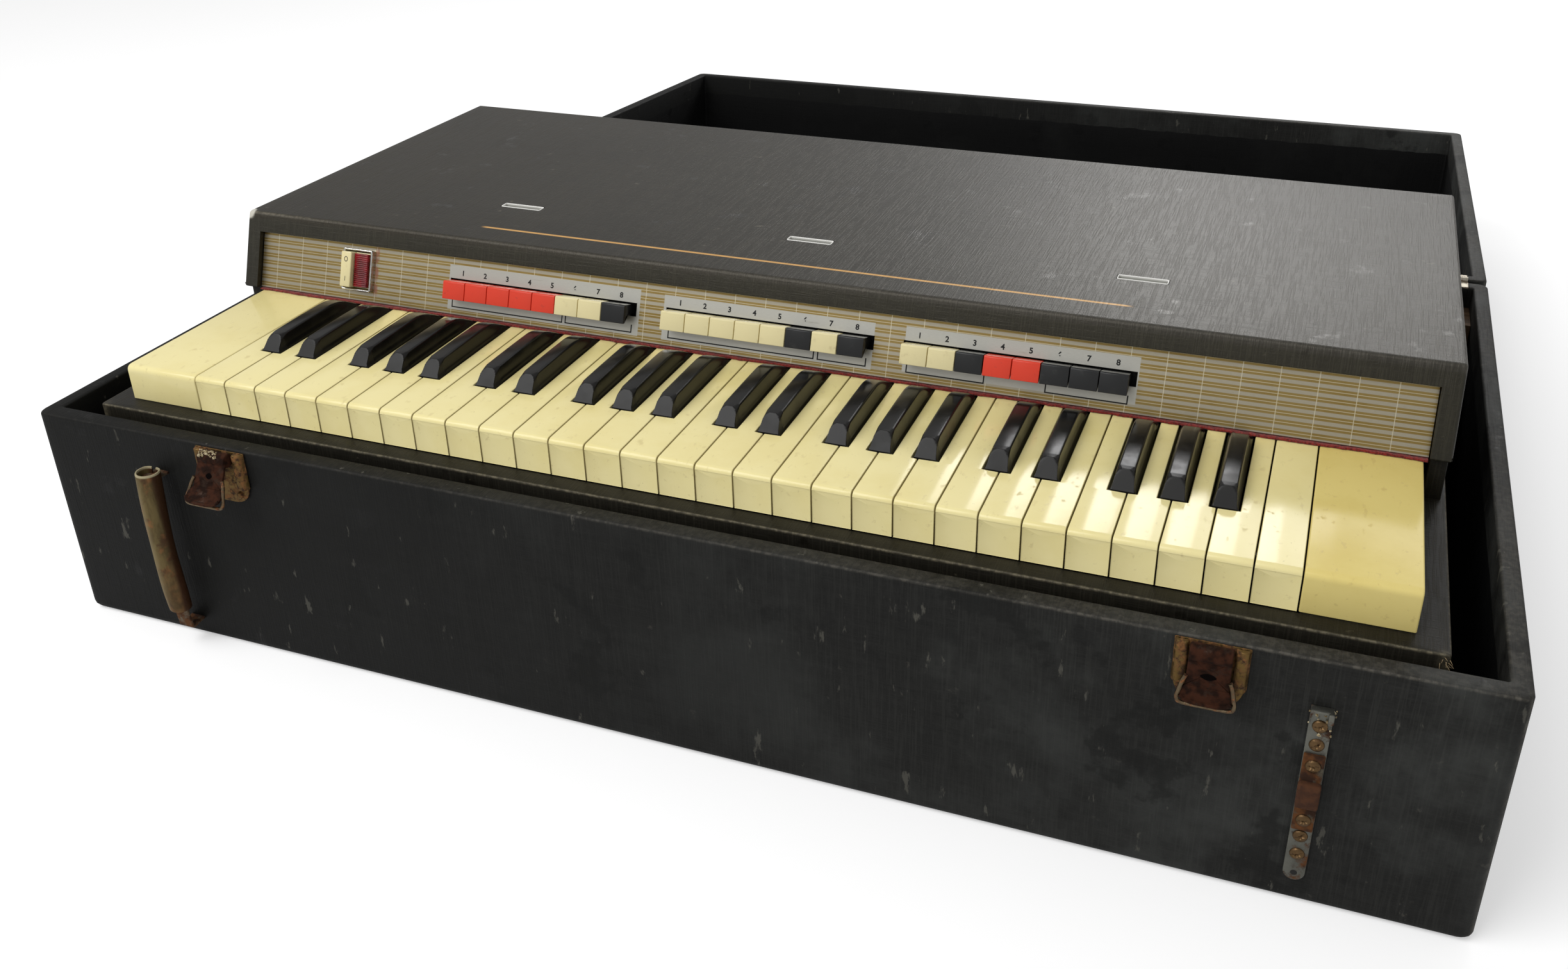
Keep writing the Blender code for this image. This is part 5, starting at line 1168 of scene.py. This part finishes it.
def make_cheeks():
    """The blocks at the keyboard's ends, with the keys' nose and softened edges."""
    corners = [(KEY_FRONT, CHEEK_FOOT), (KEY_FRONT, KEY_TOP), (CHEEK_END, KEY_TOP), (CHEEK_END, CHEEK_FOOT)]
    outline = fillet(corners, (0.0004, 0.0045, 0.001, 0.0004), 8)
    right = make_ivory("cheek_ivory", (0.77, 0.635, 0.235), (0.66, 0.515, 0.155), (0.42, 0.28, 0.1), 3.1, 0.1)
    for name, x0, x1, finish in (("cheek_left", -CHEEK_OUTER, -CHEEK_INNER, IVORY),
                                 ("cheek_right", CHEEK_INNER, CHEEK_OUTER, right)):
        add_piece(name + "_block", [carried(outline, x0, x1, 0.0009, "side", 4)], finish, "case",
                  (name,), 40.0)


IVORY = make_ivory("key_ivory", (0.87, 0.77, 0.385), (0.78, 0.66, 0.275), (0.42, 0.31, 0.13), 0.0)
make_keys()
make_cheeks()

# Hood. A folded cover in charcoal linen vinyl, browner on the left and catching the curtain on the
# right. Its front lip and arms stand proud of the panel, mitred at the corners and turned olive.
# Three pressed steel sockets for a music stand are let into its top.
HOOD_FRONT = -0.096973
HOOD_REAR = 0.2333
HOOD_TOP = 0.2356
HOOD_BACK_TOP = 0.2318
HOOD_WALL, HOOD_LIP = 0.009, 0.0037
LEAN = math.radians(20.6)
SHOULDER = HOOD_FRONT + (HOOD_TOP - HOOD_FOOT) * math.tan(LEAN)
LIP_LOW = 0.2222
SOCKETS = (("left", -0.2235), ("middle", 0.0), ("right", 0.2235))
SOCKET_Y = -0.007
SOCKET_TOP = 0.23444
SOCKET_HALF_X, SOCKET_HALF_Y, SOCKET_ROUND, SOCKET_DEEP = 0.016, 0.00375, 0.0014, 0.0196
CUT_HALF_X, CUT_HALF_Y = 0.0164, 0.0041
SCRATCH_LOW, SCRATCH_HIGH, SCRATCH_END = 0.0228, 0.0252, 0.223


def make_hood_cloth():
    """Vinyl with a brown-grey cast towards the low end, a rubbed line along the front edge, a long
    tan scratch behind it, a bare corner at the low end, and an olive front."""
    material, shader, place, (x, y, z) = new_finish("hood_cloth", 0.44, 0.47)
    feed(shader, "Specular Tint", (1.0, 0.92, 0.78, 1.0))
    leftward = times(x, -1.0)
    bent = plus(y, times(minus(noise(place, 5.0), 0.5), 0.0012))
    broken = step_up(noise(place, 34.0, 3.0), 0.22, 0.36)
    line = times(within(bent, SHOULDER + SCRATCH_LOW, SHOULDER + SCRATCH_HIGH, 0.0005),
                 within(x, -0.227, SCRATCH_END, 0.003))
    black_end = times(near_to(bent, SHOULDER + 0.0242, 0.0013), within(x, SCRATCH_END, 0.241, 0.003))
    tip = times(near_to(x, -HOOD_HALF, 0.0075),
                times(near_to(y, SHOULDER, 0.007), near_to(z, HOOD_TOP, 0.0075)))
    edge = times(near_to(y, SHOULDER, 0.0022), near_to(z, HOOD_TOP, 0.0022))
    side_edge = times(near_to(calc("ABSOLUTE", x), HOOD_HALF, 0.0022),
                      step_up(z, HOOD_TOP - 0.008, HOOD_TOP - 0.001))
    edge_share = plus(0.15, times(near_to(x, -HOOD_HALF, 0.1), 0.7))
    wear = largest(times(edge, edge_share), times(side_edge, 0.45), tip)

    def vinyl(base, pale, worn, share):
        """The hood's own linen in one set of colours."""
        return vinyl_look(shader, place, base, pale, worn, share, 0.62, 0.8)

    grey = vinyl((0.012, 0.0115, 0.0095), (0.036, 0.034, 0.029), (0.17, 0.155, 0.125), wear)
    brown = vinyl((0.0065, 0.0054, 0.003), (0.018, 0.015, 0.0092), (0.17, 0.15, 0.11), wear)
    olive = vinyl((0.006, 0.006, 0.0035), (0.017, 0.0165, 0.011), (0.12, 0.11, 0.08), times(edge, 0.5))
    shade = tint(step_up(leftward, -0.3, 0.42), grey, brown)
    shade = tint(times(line, broken), shade, (0.66, 0.36, 0.105), 0.95)
    shade = tint(black_end, shade, (0.003, 0.003, 0.003))
    front = step_up(times(y, -1.0), -(SHOULDER - 0.0009), -(SHOULDER - 0.0021))
    shade = tint(front, shade, olive)
    feed(shader, "Base Color", tint(step_up(tip, 0.05, 0.35), shade, (0.62, 0.6, 0.53), 0.9))
    return material


def shape_of(thing):
    """A new mesh of an object as it stands, with its modifiers or its text worked out."""
    bpy.context.view_layer.update()
    return bpy.data.meshes.new_from_object(thing.evaluated_get(bpy.context.evaluated_depsgraph_get()))


def cut_box(piece, low, high):
    """Take a box out of a piece, exactly, and keep the result."""
    mesh = bpy.data.meshes.new("cutter")
    corners = [(x, y, z) for x in (low[0], high[0]) for y in (low[1], high[1]) for z in (low[2], high[2])]
    mesh.from_pydata(corners, [], [(0, 1, 3, 2), (4, 6, 7, 5), (0, 4, 5, 1), (2, 3, 7, 6), (0, 2, 6, 4),
                                   (1, 5, 7, 3)])
    cutter = add_object("cutter", mesh)
    boolean = piece.modifiers.new("cut", "BOOLEAN")
    boolean.operation, boolean.solver, boolean.object = "DIFFERENCE", "EXACT", cutter
    old, piece_shape = piece.data, shape_of(piece)
    piece.modifiers.clear()
    piece.data = piece_shape
    bpy.data.meshes.remove(old)
    bpy.data.objects.remove(cutter)


def make_hood():
    """The cover's side profile carried between the side slabs, and the slabs themselves, whose
    front faces are the arms beside the panel."""
    cloth = make_hood_cloth()
    lip = HOOD_LIP / math.cos(LEAN)
    lip_y = HOOD_FRONT + (LIP_LOW - HOOD_FOOT) * math.tan(LEAN)
    inside_rear, inside_top = HOOD_REAR - HOOD_WALL, HOOD_TOP - HOOD_WALL
    outline = [(lip_y, LIP_LOW), (SHOULDER, HOOD_TOP), (HOOD_REAR, HOOD_BACK_TOP), (HOOD_REAR, HOOD_FOOT),
               (inside_rear, HOOD_FOOT), (inside_rear, HOOD_BACK_TOP - HOOD_WALL),
               (SHOULDER + lip + 0.001, inside_top), (lip_y + lip, LIP_LOW)]
    rounded = fillet(outline, (0.0008, 0.0025, 0.003, 0.0006, 0.0004, 0.0004, 0.0004, 0.0008), 6)
    cover = carried(rounded, -HOOD_INSIDE - 0.0002, HOOD_INSIDE + 0.0002, 0.0001, "side", 1)
    cover = add_piece("hood_cover", [cover], cloth, "case", ("hood",))
    for _, x in SOCKETS:
        cut_box(cover, (x - CUT_HALF_X, SOCKET_Y - CUT_HALF_Y, HOOD_TOP - 0.03),
                (x + CUT_HALF_X, SOCKET_Y + CUT_HALF_Y, HOOD_TOP + 0.01))
    slab = fillet([(HOOD_FRONT, HOOD_FOOT), (SHOULDER, HOOD_TOP), (HOOD_REAR, HOOD_BACK_TOP),
                   (HOOD_REAR, HOOD_FOOT)],
                  (0.0016, 0.0025, 0.003, 0.001), 6)
    for name, x0, x1, ends in (("hood_arm_left", -HOOD_HALF, -HOOD_INSIDE, (True, False)),
                               ("hood_arm_right", HOOD_INSIDE, HOOD_HALF, (False, True))):
        add_piece(name, [carried(slab, x0, x1, 0.0022, "side", 5, ends)], cloth, "case")


def make_sockets():
    """Pressed sleeves: a thin rolled rim on the hood's top and a tube that runs down from it. Each
    loop is a rounded rectangle; the rim rolls over from the outer to the inner loop."""
    material, shader, place, parts = new_finish("socket_steel", 0.42, 0.5, 0.15)
    # Darker below the rim, down inside the tube: painted shade.
    deep_shade = step_up(times(parts[2], -1.0), -SOCKET_TOP - 0.0001, -SOCKET_TOP + 0.0012)
    plating = tint(grime(place, 0.012, 0.5, 0.3), (0.86, 0.85, 0.81), (0.74, 0.73, 0.69))
    feed(shader, "Base Color", tint(deep_shade, plating, (0.46, 0.46, 0.42)))
    roll = [(-0.00035 * (1 - math.cos(t)), 0.0002 + 0.0004 * math.sin(t)) for t in np.linspace(0, math.pi, 7)]
    slope = (HOOD_TOP - HOOD_BACK_TOP) / (HOOD_REAR - SHOULDER)
    for name, x in SOCKETS:
        loops = []
        for grow, height in [(0.0, -SOCKET_DEEP), (0.0, -0.0002), *roll, (-0.0007, -0.001),
                             (-0.0007, -SOCKET_DEEP)]:
            half_x, half_y = SOCKET_HALF_X + grow, SOCKET_HALF_Y + grow
            flat = fillet(rectangle(-half_x, half_x, -half_y, half_y), SOCKET_ROUND + grow, 6)
            loops.append(np.column_stack([x + flat[:, 0], SOCKET_Y + flat[:, 1],
                                          SOCKET_TOP + height - slope * flat[:, 1]]))
        add_piece("socket_" + name, [shell(loops, ring=True)], material, "case",
                  ("stand_socket_" + name,), 50.0)


make_hood()
make_sockets()

# Control panel. Anodised aluminium, striped in silver and gold, with thin vertical rules and
# brushed silver plates round each bank of tabs; its lettering is left off and the banks carry
# plain bracket lines and numerals. The long black slots are where the tabs come through.
PANEL_FOOT = (0.0, -0.0927, 0.183522)
PANEL_PLACE = Matrix.Translation(PANEL_FOOT) @ Matrix.Rotation(-LEAN, 4, "X")
BANK_STARTS = (0.1034, 0.2692, 0.4326)
BANK_PLATES = ((0.101, 0.2485, 0.0035, 0.0345), (0.266, 0.4118, 0.0036, 0.0333), (0.432, 0.5764, 0.0055, 0.034))
BRACKETS = ((0.1043, 0.1917), (0.1936, 0.244), (0.2704, 0.3734), (0.3755, 0.4084), (0.4344, 0.4846),
            (0.522, 0.572))
TAB_PITCH = 0.0175
PANEL_HALF, PANEL_THICK, PANEL_TALL = 0.3985, 0.0012, 0.0436
SLOT_LOW, SLOT_HIGH, SLOT_LONG = 0.0161, 0.0252, 0.143
BRACKET_LINE = 0.0008
NUMERAL_SIZE, NUMERAL_FOOT = 0.0049, 0.0276


def panel_block(x0, x1, s0, s1, d0, d1, edge, steps=2):
    """A rounded block on the panel: x from the first key, s up the slope, d out of the panel."""
    return moved(block((FIRST_KEY + x0, -d1, s0), (FIRST_KEY + x1, -d0, s1), edge, steps), PANEL_PLACE)


def on_panel(place):
    """x from the first key and s up the slope, from the piece's own coordinates."""
    local, parts = turned_place(place, PANEL_FOOT, -LEAN)
    return minus(parts[0], FIRST_KEY), parts[2], local


def make_panel_print():
    """Stripes: along s, one period holds a silver band and a gold band split by a thin light line;
    every 21 mm a thin light rule crosses them all."""
    tree, given, result = group_of("panel_print", {"X": 0.0, "S": 0.0}, ("Silver", "Light", "Rule"))
    phase = calc("FRACT", calc("DIVIDE", plus(given["S"], 0.0014), 0.0053))
    column = calc("FRACT", calc("DIVIDE", plus(given["X"], 0.2246), 0.0212))
    feed(result, "Silver", within(phase, 0.05, 0.47, 0.03))
    feed(result, "Light", near_to(phase, 0.765, 0.055))
    feed(result, "Rule", near_to(column, 0.5, 0.018))
    return tree


def make_panel_look():
    """Satin aluminium under the print, with plates left silver round the banks and faint wipes."""
    material, shader, place, _ = new_finish("striped_panel", 0.38, 0.3, 0.9)
    x, s, local = on_panel(place)
    stripes = shared(make_panel_print(), X=x, S=s)
    plates = largest(*(times(within(x, x0, x1, 0.0002), within(s, s0, s1, 0.0002))
                       for x0, x1, s0, s1 in BANK_PLATES))
    brushed = stretched(local, (1.0, 1.0, 9.0))
    hair = noise(brushed, 420.0)
    gold = tint(grime(local, 0.03, 0.45, 0.25), (0.335, 0.24, 0.085), (0.29, 0.2, 0.062))
    shade = tint(stripes["Silver"], gold, tint(hair, (0.405, 0.365, 0.275), (0.495, 0.45, 0.35)))
    shade = tint(largest(stripes["Light"], stripes["Rule"]), shade, (0.8, 0.74, 0.55), 0.8)
    shade = tint(plates, shade, tint(hair, (0.475, 0.465, 0.415), (0.575, 0.565, 0.51)))
    shade = tint(grime(brushed, 0.02, 0.62, 0.12), shade, (0.22, 0.19, 0.13), 0.3)
    stain = times(within(x, 0.0392, 0.0425, 0.0004), within(s, 0.006, 0.0385, 0.003))
    stain = times(stain, step_up(noise(local, 160.0), 0.35, 0.55))
    feed(shader, "Base Color", tint(stain, shade, (0.36, 0.15, 0.1), 0.8))
    feed(shader, "Roughness", plus(0.34, times(hair, 0.1)))
    return material


def numeral_skin(text, x, s):
    """A printed numeral, its foot's middle at a place on the panel."""
    curve = bpy.data.curves.new("numeral", "FONT")
    curve.body, curve.size, curve.align_x = text, NUMERAL_SIZE, "CENTER"
    curve.extrude, curve.offset = 0.00005, 0.00016
    flat = add_object("numeral", curve)
    mesh = shape_of(flat)
    mesh.calc_loop_triangles()
    points = np.array([vertex.co[:] for vertex in mesh.vertices])
    triangles = np.array([triangle.vertices[:] for triangle in mesh.loop_triangles])
    bpy.data.objects.remove(flat)
    bpy.data.curves.remove(curve)
    bpy.data.meshes.remove(mesh)
    upright = np.column_stack([FIRST_KEY + x + points[:, 0], -points[:, 2] - 0.00001, s + points[:, 1]])
    return moved((upright, np.zeros((0, 4), int), triangles), PANEL_PLACE)


def make_panel():
    """The plate with its slots, and the bracket lines and numerals printed on it."""
    plate = block((-PANEL_HALF, 0.0, 0.0), (PANEL_HALF, PANEL_THICK, PANEL_TALL), 0.0002, 1)
    plate = add_piece("striped_plate", [plate], make_panel_look(), "case", ("control_panel",))
    for start in BANK_STARTS:
        left = FIRST_KEY + start
        cut_box(plate, (left - 0.0014, -0.01, SLOT_LOW), (left + SLOT_LONG, 0.01, SLOT_HIGH))
    cut_box(plate, (FIRST_KEY + 0.016, -0.01, 0.0085), (FIRST_KEY + 0.0371, 0.01, 0.035))
    plate.data.transform(PANEL_PLACE)

    ink, shader, place, _ = new_finish("panel_ink", 0.55, 0.3)
    feed(shader, "Base Color", tint(grime(place, 0.0012, 0.62, 0.08), (0.006, 0.006, 0.006),
                                    (0.1, 0.095, 0.09)))
    lines = []
    for x0, x1 in BRACKETS:
        for low, high, foot, top in ((x0, x1, 0.005, 0.0058), (x0, x0 + BRACKET_LINE, 0.0057, 0.0105),
                                     (x1 - BRACKET_LINE, x1, 0.0057, 0.0105)):
            lines.append(panel_block(low, high, foot, top, -0.0001, 0.00006, 0.00002, 1))
    lines += [numeral_skin(str(tab + 1), start + tab * TAB_PITCH + 0.0085, NUMERAL_FOOT) for start in BANK_STARTS
              for tab in range(8)]
    add_piece("panel_print", lines, ink, "case", sharp=30.0)


def make_felt():
    """The frayed strip of dark red felt under the panel, over the keys: its front edge wanders by a
    seeded walk, with lint on it."""
    material, shader, place, _ = new_finish("red_felt_strip", 0.95, 0.15)
    feed(shader, "Sheen Weight", 0.4)
    fibre = noise(place, 900.0, 3.0)
    shade = tint(step_up(fibre, 0.35, 0.65), (0.1, 0.008, 0.007), (0.27, 0.022, 0.014))
    shade = tint(grime(place, 0.012, 0.52, 0.16), shade, (0.045, 0.01, 0.008), 0.4)
    feed(shader, "Base Color", tint(grime(place, 0.003, 0.7, 0.04), shade, (0.42, 0.24, 0.17), 0.8))
    emboss(shader, fibre, 0.0004, 1.0)
    draw = np.random.default_rng(31)
    count, back, low, high = 900, -0.09, 0.18175, 0.1829

    def wander(spare, kernel):
        """Seeded numbers smoothed by a kernel, the spare ones at both ends cut off."""
        return np.convolve(draw.normal(0, 1, count + 2 * spare), kernel, "same")[spare:spare + count]

    walk = wander(20, np.ones(5) / 5)
    slow = wander(40, np.ones(41) / 6.4)
    rough = wander(20, np.ones(4) / 4)
    a = np.linspace(0, math.pi, 7)
    loops = []
    for x, front, top in zip(np.linspace(-0.3983, 0.3983, count),
                             -0.0948 - 0.0005 * np.abs(walk) - 0.0003 * slow,
                             high + 0.00022 * rough):
        ys = np.concatenate([[back], front + 0.0004 - 0.0004 * np.sin(a), [back]])
        zs = np.concatenate([[low], (top + low) / 2 - np.cos(a) * (top - low) / 2, [min(top, high)]])
        loops.append(np.column_stack([np.full(len(ys), x), ys, zs]))
    add_piece("felt_frayed", [shell(loops)], material, "case", ("felt_strip",), 80.0)


make_panel()
make_felt()

# Rocker. The mains switch: a bright frame, a cream fin that is pressed, marked with a plain nought
# and a stroke, and a ribbed red lens beside it.
LENS_RIBS = 17
ROCKER_X = (0.0143, 0.0388)
ROCKER_S = (0.0068, 0.0367)
ROCKER_BORDER = 0.0015


def moulded(name, colour, dirty, roughness=0.22):
    """Moulded plastic with handling marks: grime in small patches that also dulls it."""
    material, shader, place, _ = new_finish(name, roughness, 0.5)
    patches = grime(place, 0.005, 0.58, 0.14)
    shade = tint(patches, colour, dirty, 0.35)
    feed(shader, "Base Color", tint(grime(place, 0.001, 0.72, 0.04), shade, dirty, 0.35))
    feed(shader, "Roughness", plus(roughness, times(patches, 0.18)))
    emboss(shader, noise(place, 60.0), 0.0003, 0.12)
    return material


CREAM = moulded("cream_plastic", (0.78, 0.69, 0.385), (0.42, 0.33, 0.15))


def make_rocker_frame():
    """A ring of rounded square section, its loops given by their inset and distance out."""
    bright = plated_steel("bright_trim", (0.72, 0.71, 0.68), 0.62, 0.16)
    (x0, x1), (s0, s1), border = ROCKER_X, ROCKER_S, ROCKER_BORDER
    loops = []
    for inset, out in ((0.0, 0.0001), (0.0, 0.003), (0.0001, 0.0034), (0.0004, 0.0037),
                       (border - 0.0004, 0.0037),
                       (border - 0.0001, 0.0034), (border, 0.003), (border, 0.0001)):
        flat = fillet(rectangle(x0 + inset, x1 - inset, s0 + inset, s1 - inset), max(0.0016 - inset, 0.0003), 4)
        loops.append(np.column_stack([FIRST_KEY + flat[:, 0], np.full(len(flat), -out), flat[:, 1]]))
    add_piece("rocker_frame", [moved(shell(loops, ring=True), PANEL_PLACE)], bright, "case",
              ("rocker_bezel",), 50.0)


def make_rocker_fin():
    """The paddle and its fin, and the fin's two marks: an oval ring and a short bar."""
    paddle = panel_block(0.0161, 0.037, 0.0092, 0.0343, -0.0098, 0.0019, 0.0004)
    fin = panel_block(0.0161, 0.0246, 0.0092, 0.0343, -0.001, 0.008, 0.0007, 3)
    add_piece("rocker_paddle", [paddle, fin], CREAM, "rocker", ("rocker_switch",))
    x, y, z = FIRST_KEY + 0.02035, -0.00805, 0.029
    r = 0.0013 + 0.0002 * np.cos(circle(6))
    loops = [np.column_stack([x + r * math.cos(a), y - 0.00006 + 0.00006 * np.sin(circle(6)),
                              z + 1.25 * r * math.sin(a)])
             for a in circle(24)]
    nought = moved(shell(loops, ring=True), PANEL_PLACE)
    stroke = panel_block(0.02015, 0.02055, 0.0135, 0.0168, 0.0079, 0.00808, 0.00003, 1)
    add_piece("rocker_marks", [nought, stroke], plain_finish("rocker_mark", (0.05, 0.045, 0.04), 0.5, 0.3),
              "rocker")


def make_rocker_lens():
    """The red lens, its ribs r |sin| across it."""
    lens, shader, place, _ = new_finish("ribbed_lens", 0.1, 0.5)
    depth = step_up(noise(on_panel(place)[2], 120.0), 0.35, 0.65)
    feed(shader, "Base Color", tint(depth, (0.3, 0.004, 0.012), (0.13, 0.002, 0.006)))
    feed(shader, "Coat Weight", 0.5)
    across = np.linspace(0.0099, 0.0336, LENS_RIBS * 6 + 1)
    height = 0.0046 + 0.0007 * np.abs(np.sin(np.linspace(0, math.pi * LENS_RIBS, len(across))))
    loops = []
    for position, out in zip(across, height):
        ring = fillet(rectangle(0.0252, 0.0364, 0.0023, out), (0.0001, 0.0001, 0.0007, 0.0007), 4)
        loops.append(np.column_stack([FIRST_KEY + ring[:, 0], -ring[:, 1], np.full(len(ring), position)]))
    add_piece("rocker_red_lens", [moved(shell(loops), PANEL_PLACE)], lens, "rocker",
              ("rocker_lens",), 60.0)


make_rocker_frame()
make_rocker_fin()
make_rocker_lens()

# Tabs. Moulded hooks that hang out through the slots: a front plate, a sloping top with a bright
# chamfer, a hollow underside, and a root that rocks in the steel channel behind the panel.
TAB_RUNS = (("low", "RRRRRCCK"), ("middle", "CCCCCKCK"), ("high", "CCKRRKKK"))
TAB_WIDE = 0.0169


def tab_skin(x0, x1):
    """One tab, its side outline carried across, in the panel's frame (d inwards, s up)."""
    outline = fillet([(-0.011, 0.0112), (-0.0086, 0.0113), (-0.0076, 0.016), (-0.0012, 0.0168),
                      (-0.0008, 0.0172),
                      (0.0072, 0.0182), (0.0072, 0.0226), (0.0, 0.0241), (-0.0102, 0.0237), (-0.011, 0.0229)],
                     (0.0004, 0.0005, 0.001, 0.0003, 0.0003, 0.0014, 0.0014, 0.0004, 0.0002, 0.0002), 3)
    return moved(carried(outline, FIRST_KEY + x0, FIRST_KEY + x1, 0.00028, "side", 2), PANEL_PLACE)


def make_tabs():
    """Each run of like-coloured tabs rocks as one piece, as the solids do."""
    red = moulded("red_plastic", (0.73, 0.047, 0.018), (0.33, 0.03, 0.015), 0.28)
    black = moulded("tab_black", (0.0085, 0.009, 0.0095), (0.03, 0.03, 0.027), 0.3)
    looks = {"R": ("red", red), "C": ("cream", CREAM), "K": ("black", black)}
    for (bank, letters), start in zip(TAB_RUNS, BANK_STARTS):
        runs = []
        for index, letter in enumerate(letters):
            if runs and runs[-1][0] == letter:
                runs[-1][1].append(start + index * TAB_PITCH)
            else:
                runs.append((letter, [start + index * TAB_PITCH]))
        seen = {}
        for letter, lefts in runs:
            colour, finish = looks[letter]
            seen[letter] = seen.get(letter, 0) + 1
            label = "%s_%s_%d" % (bank, colour, seen[letter])
            skins = [tab_skin(x, x + TAB_WIDE) for x in lefts]
            if len(lefts) > 1:
                skins.append(panel_block(lefts[0] + 0.001, lefts[-1] + 0.0159, 0.019, 0.022, -0.0066, -0.0036,
                                         0.0003, 1))
            add_piece("tab_caps_" + label, skins, finish, "tabs_" + label,
                      ("tabs_" + label,), 30.0)


make_tabs()

# Works. The pieces inside keep the solids' shapes: blackened channel, zinc-plated key frame, tank
# and connector panel, brown boards, a varnished transformer, and the lid's brass keepers.


def make_works():
    """Their finishes."""
    black, shader, place, _ = new_finish("blackened_steel", 0.6, 0.3)
    feed(shader, "Base Color", tint(grime(place, 0.01, 0.5, 0.2), (0.008, 0.008, 0.008), (0.022, 0.02, 0.018)))
    dress(black, "tab_rail")
    dress(plated_steel("dull_zinc", (0.5, 0.48, 0.44), 0.6, 0.42), "key_frame", "reverb_tank",
          "connector_panel")
    dress(plated_steel("keeper_brass", (0.36, 0.24, 0.095), 0.5, 0.42), "lid_keeper_left", "lid_keeper_right")
    board, shader, place, _ = new_finish("brown_laminate", 0.5, 0.4)
    flecks = step_up(noise(place, 240.0, 4.0), 0.35, 0.65)
    feed(shader, "Base Color", tint(flecks, (0.2, 0.105, 0.04), (0.36, 0.21, 0.09)))
    dress(board, "contact_board", "generator_board")
    core, shader, place, _ = new_finish("varnished_core", 0.45, 0.4, 0.3)
    plies = step_up(noise(stretched(place, (1.0, 40.0, 1.0)), 40.0), 0.4, 0.6)
    feed(shader, "Base Color", tint(plies, (0.05, 0.04, 0.03), (0.15, 0.13, 0.11)))
    dress(core, "power_transformer")


make_works()
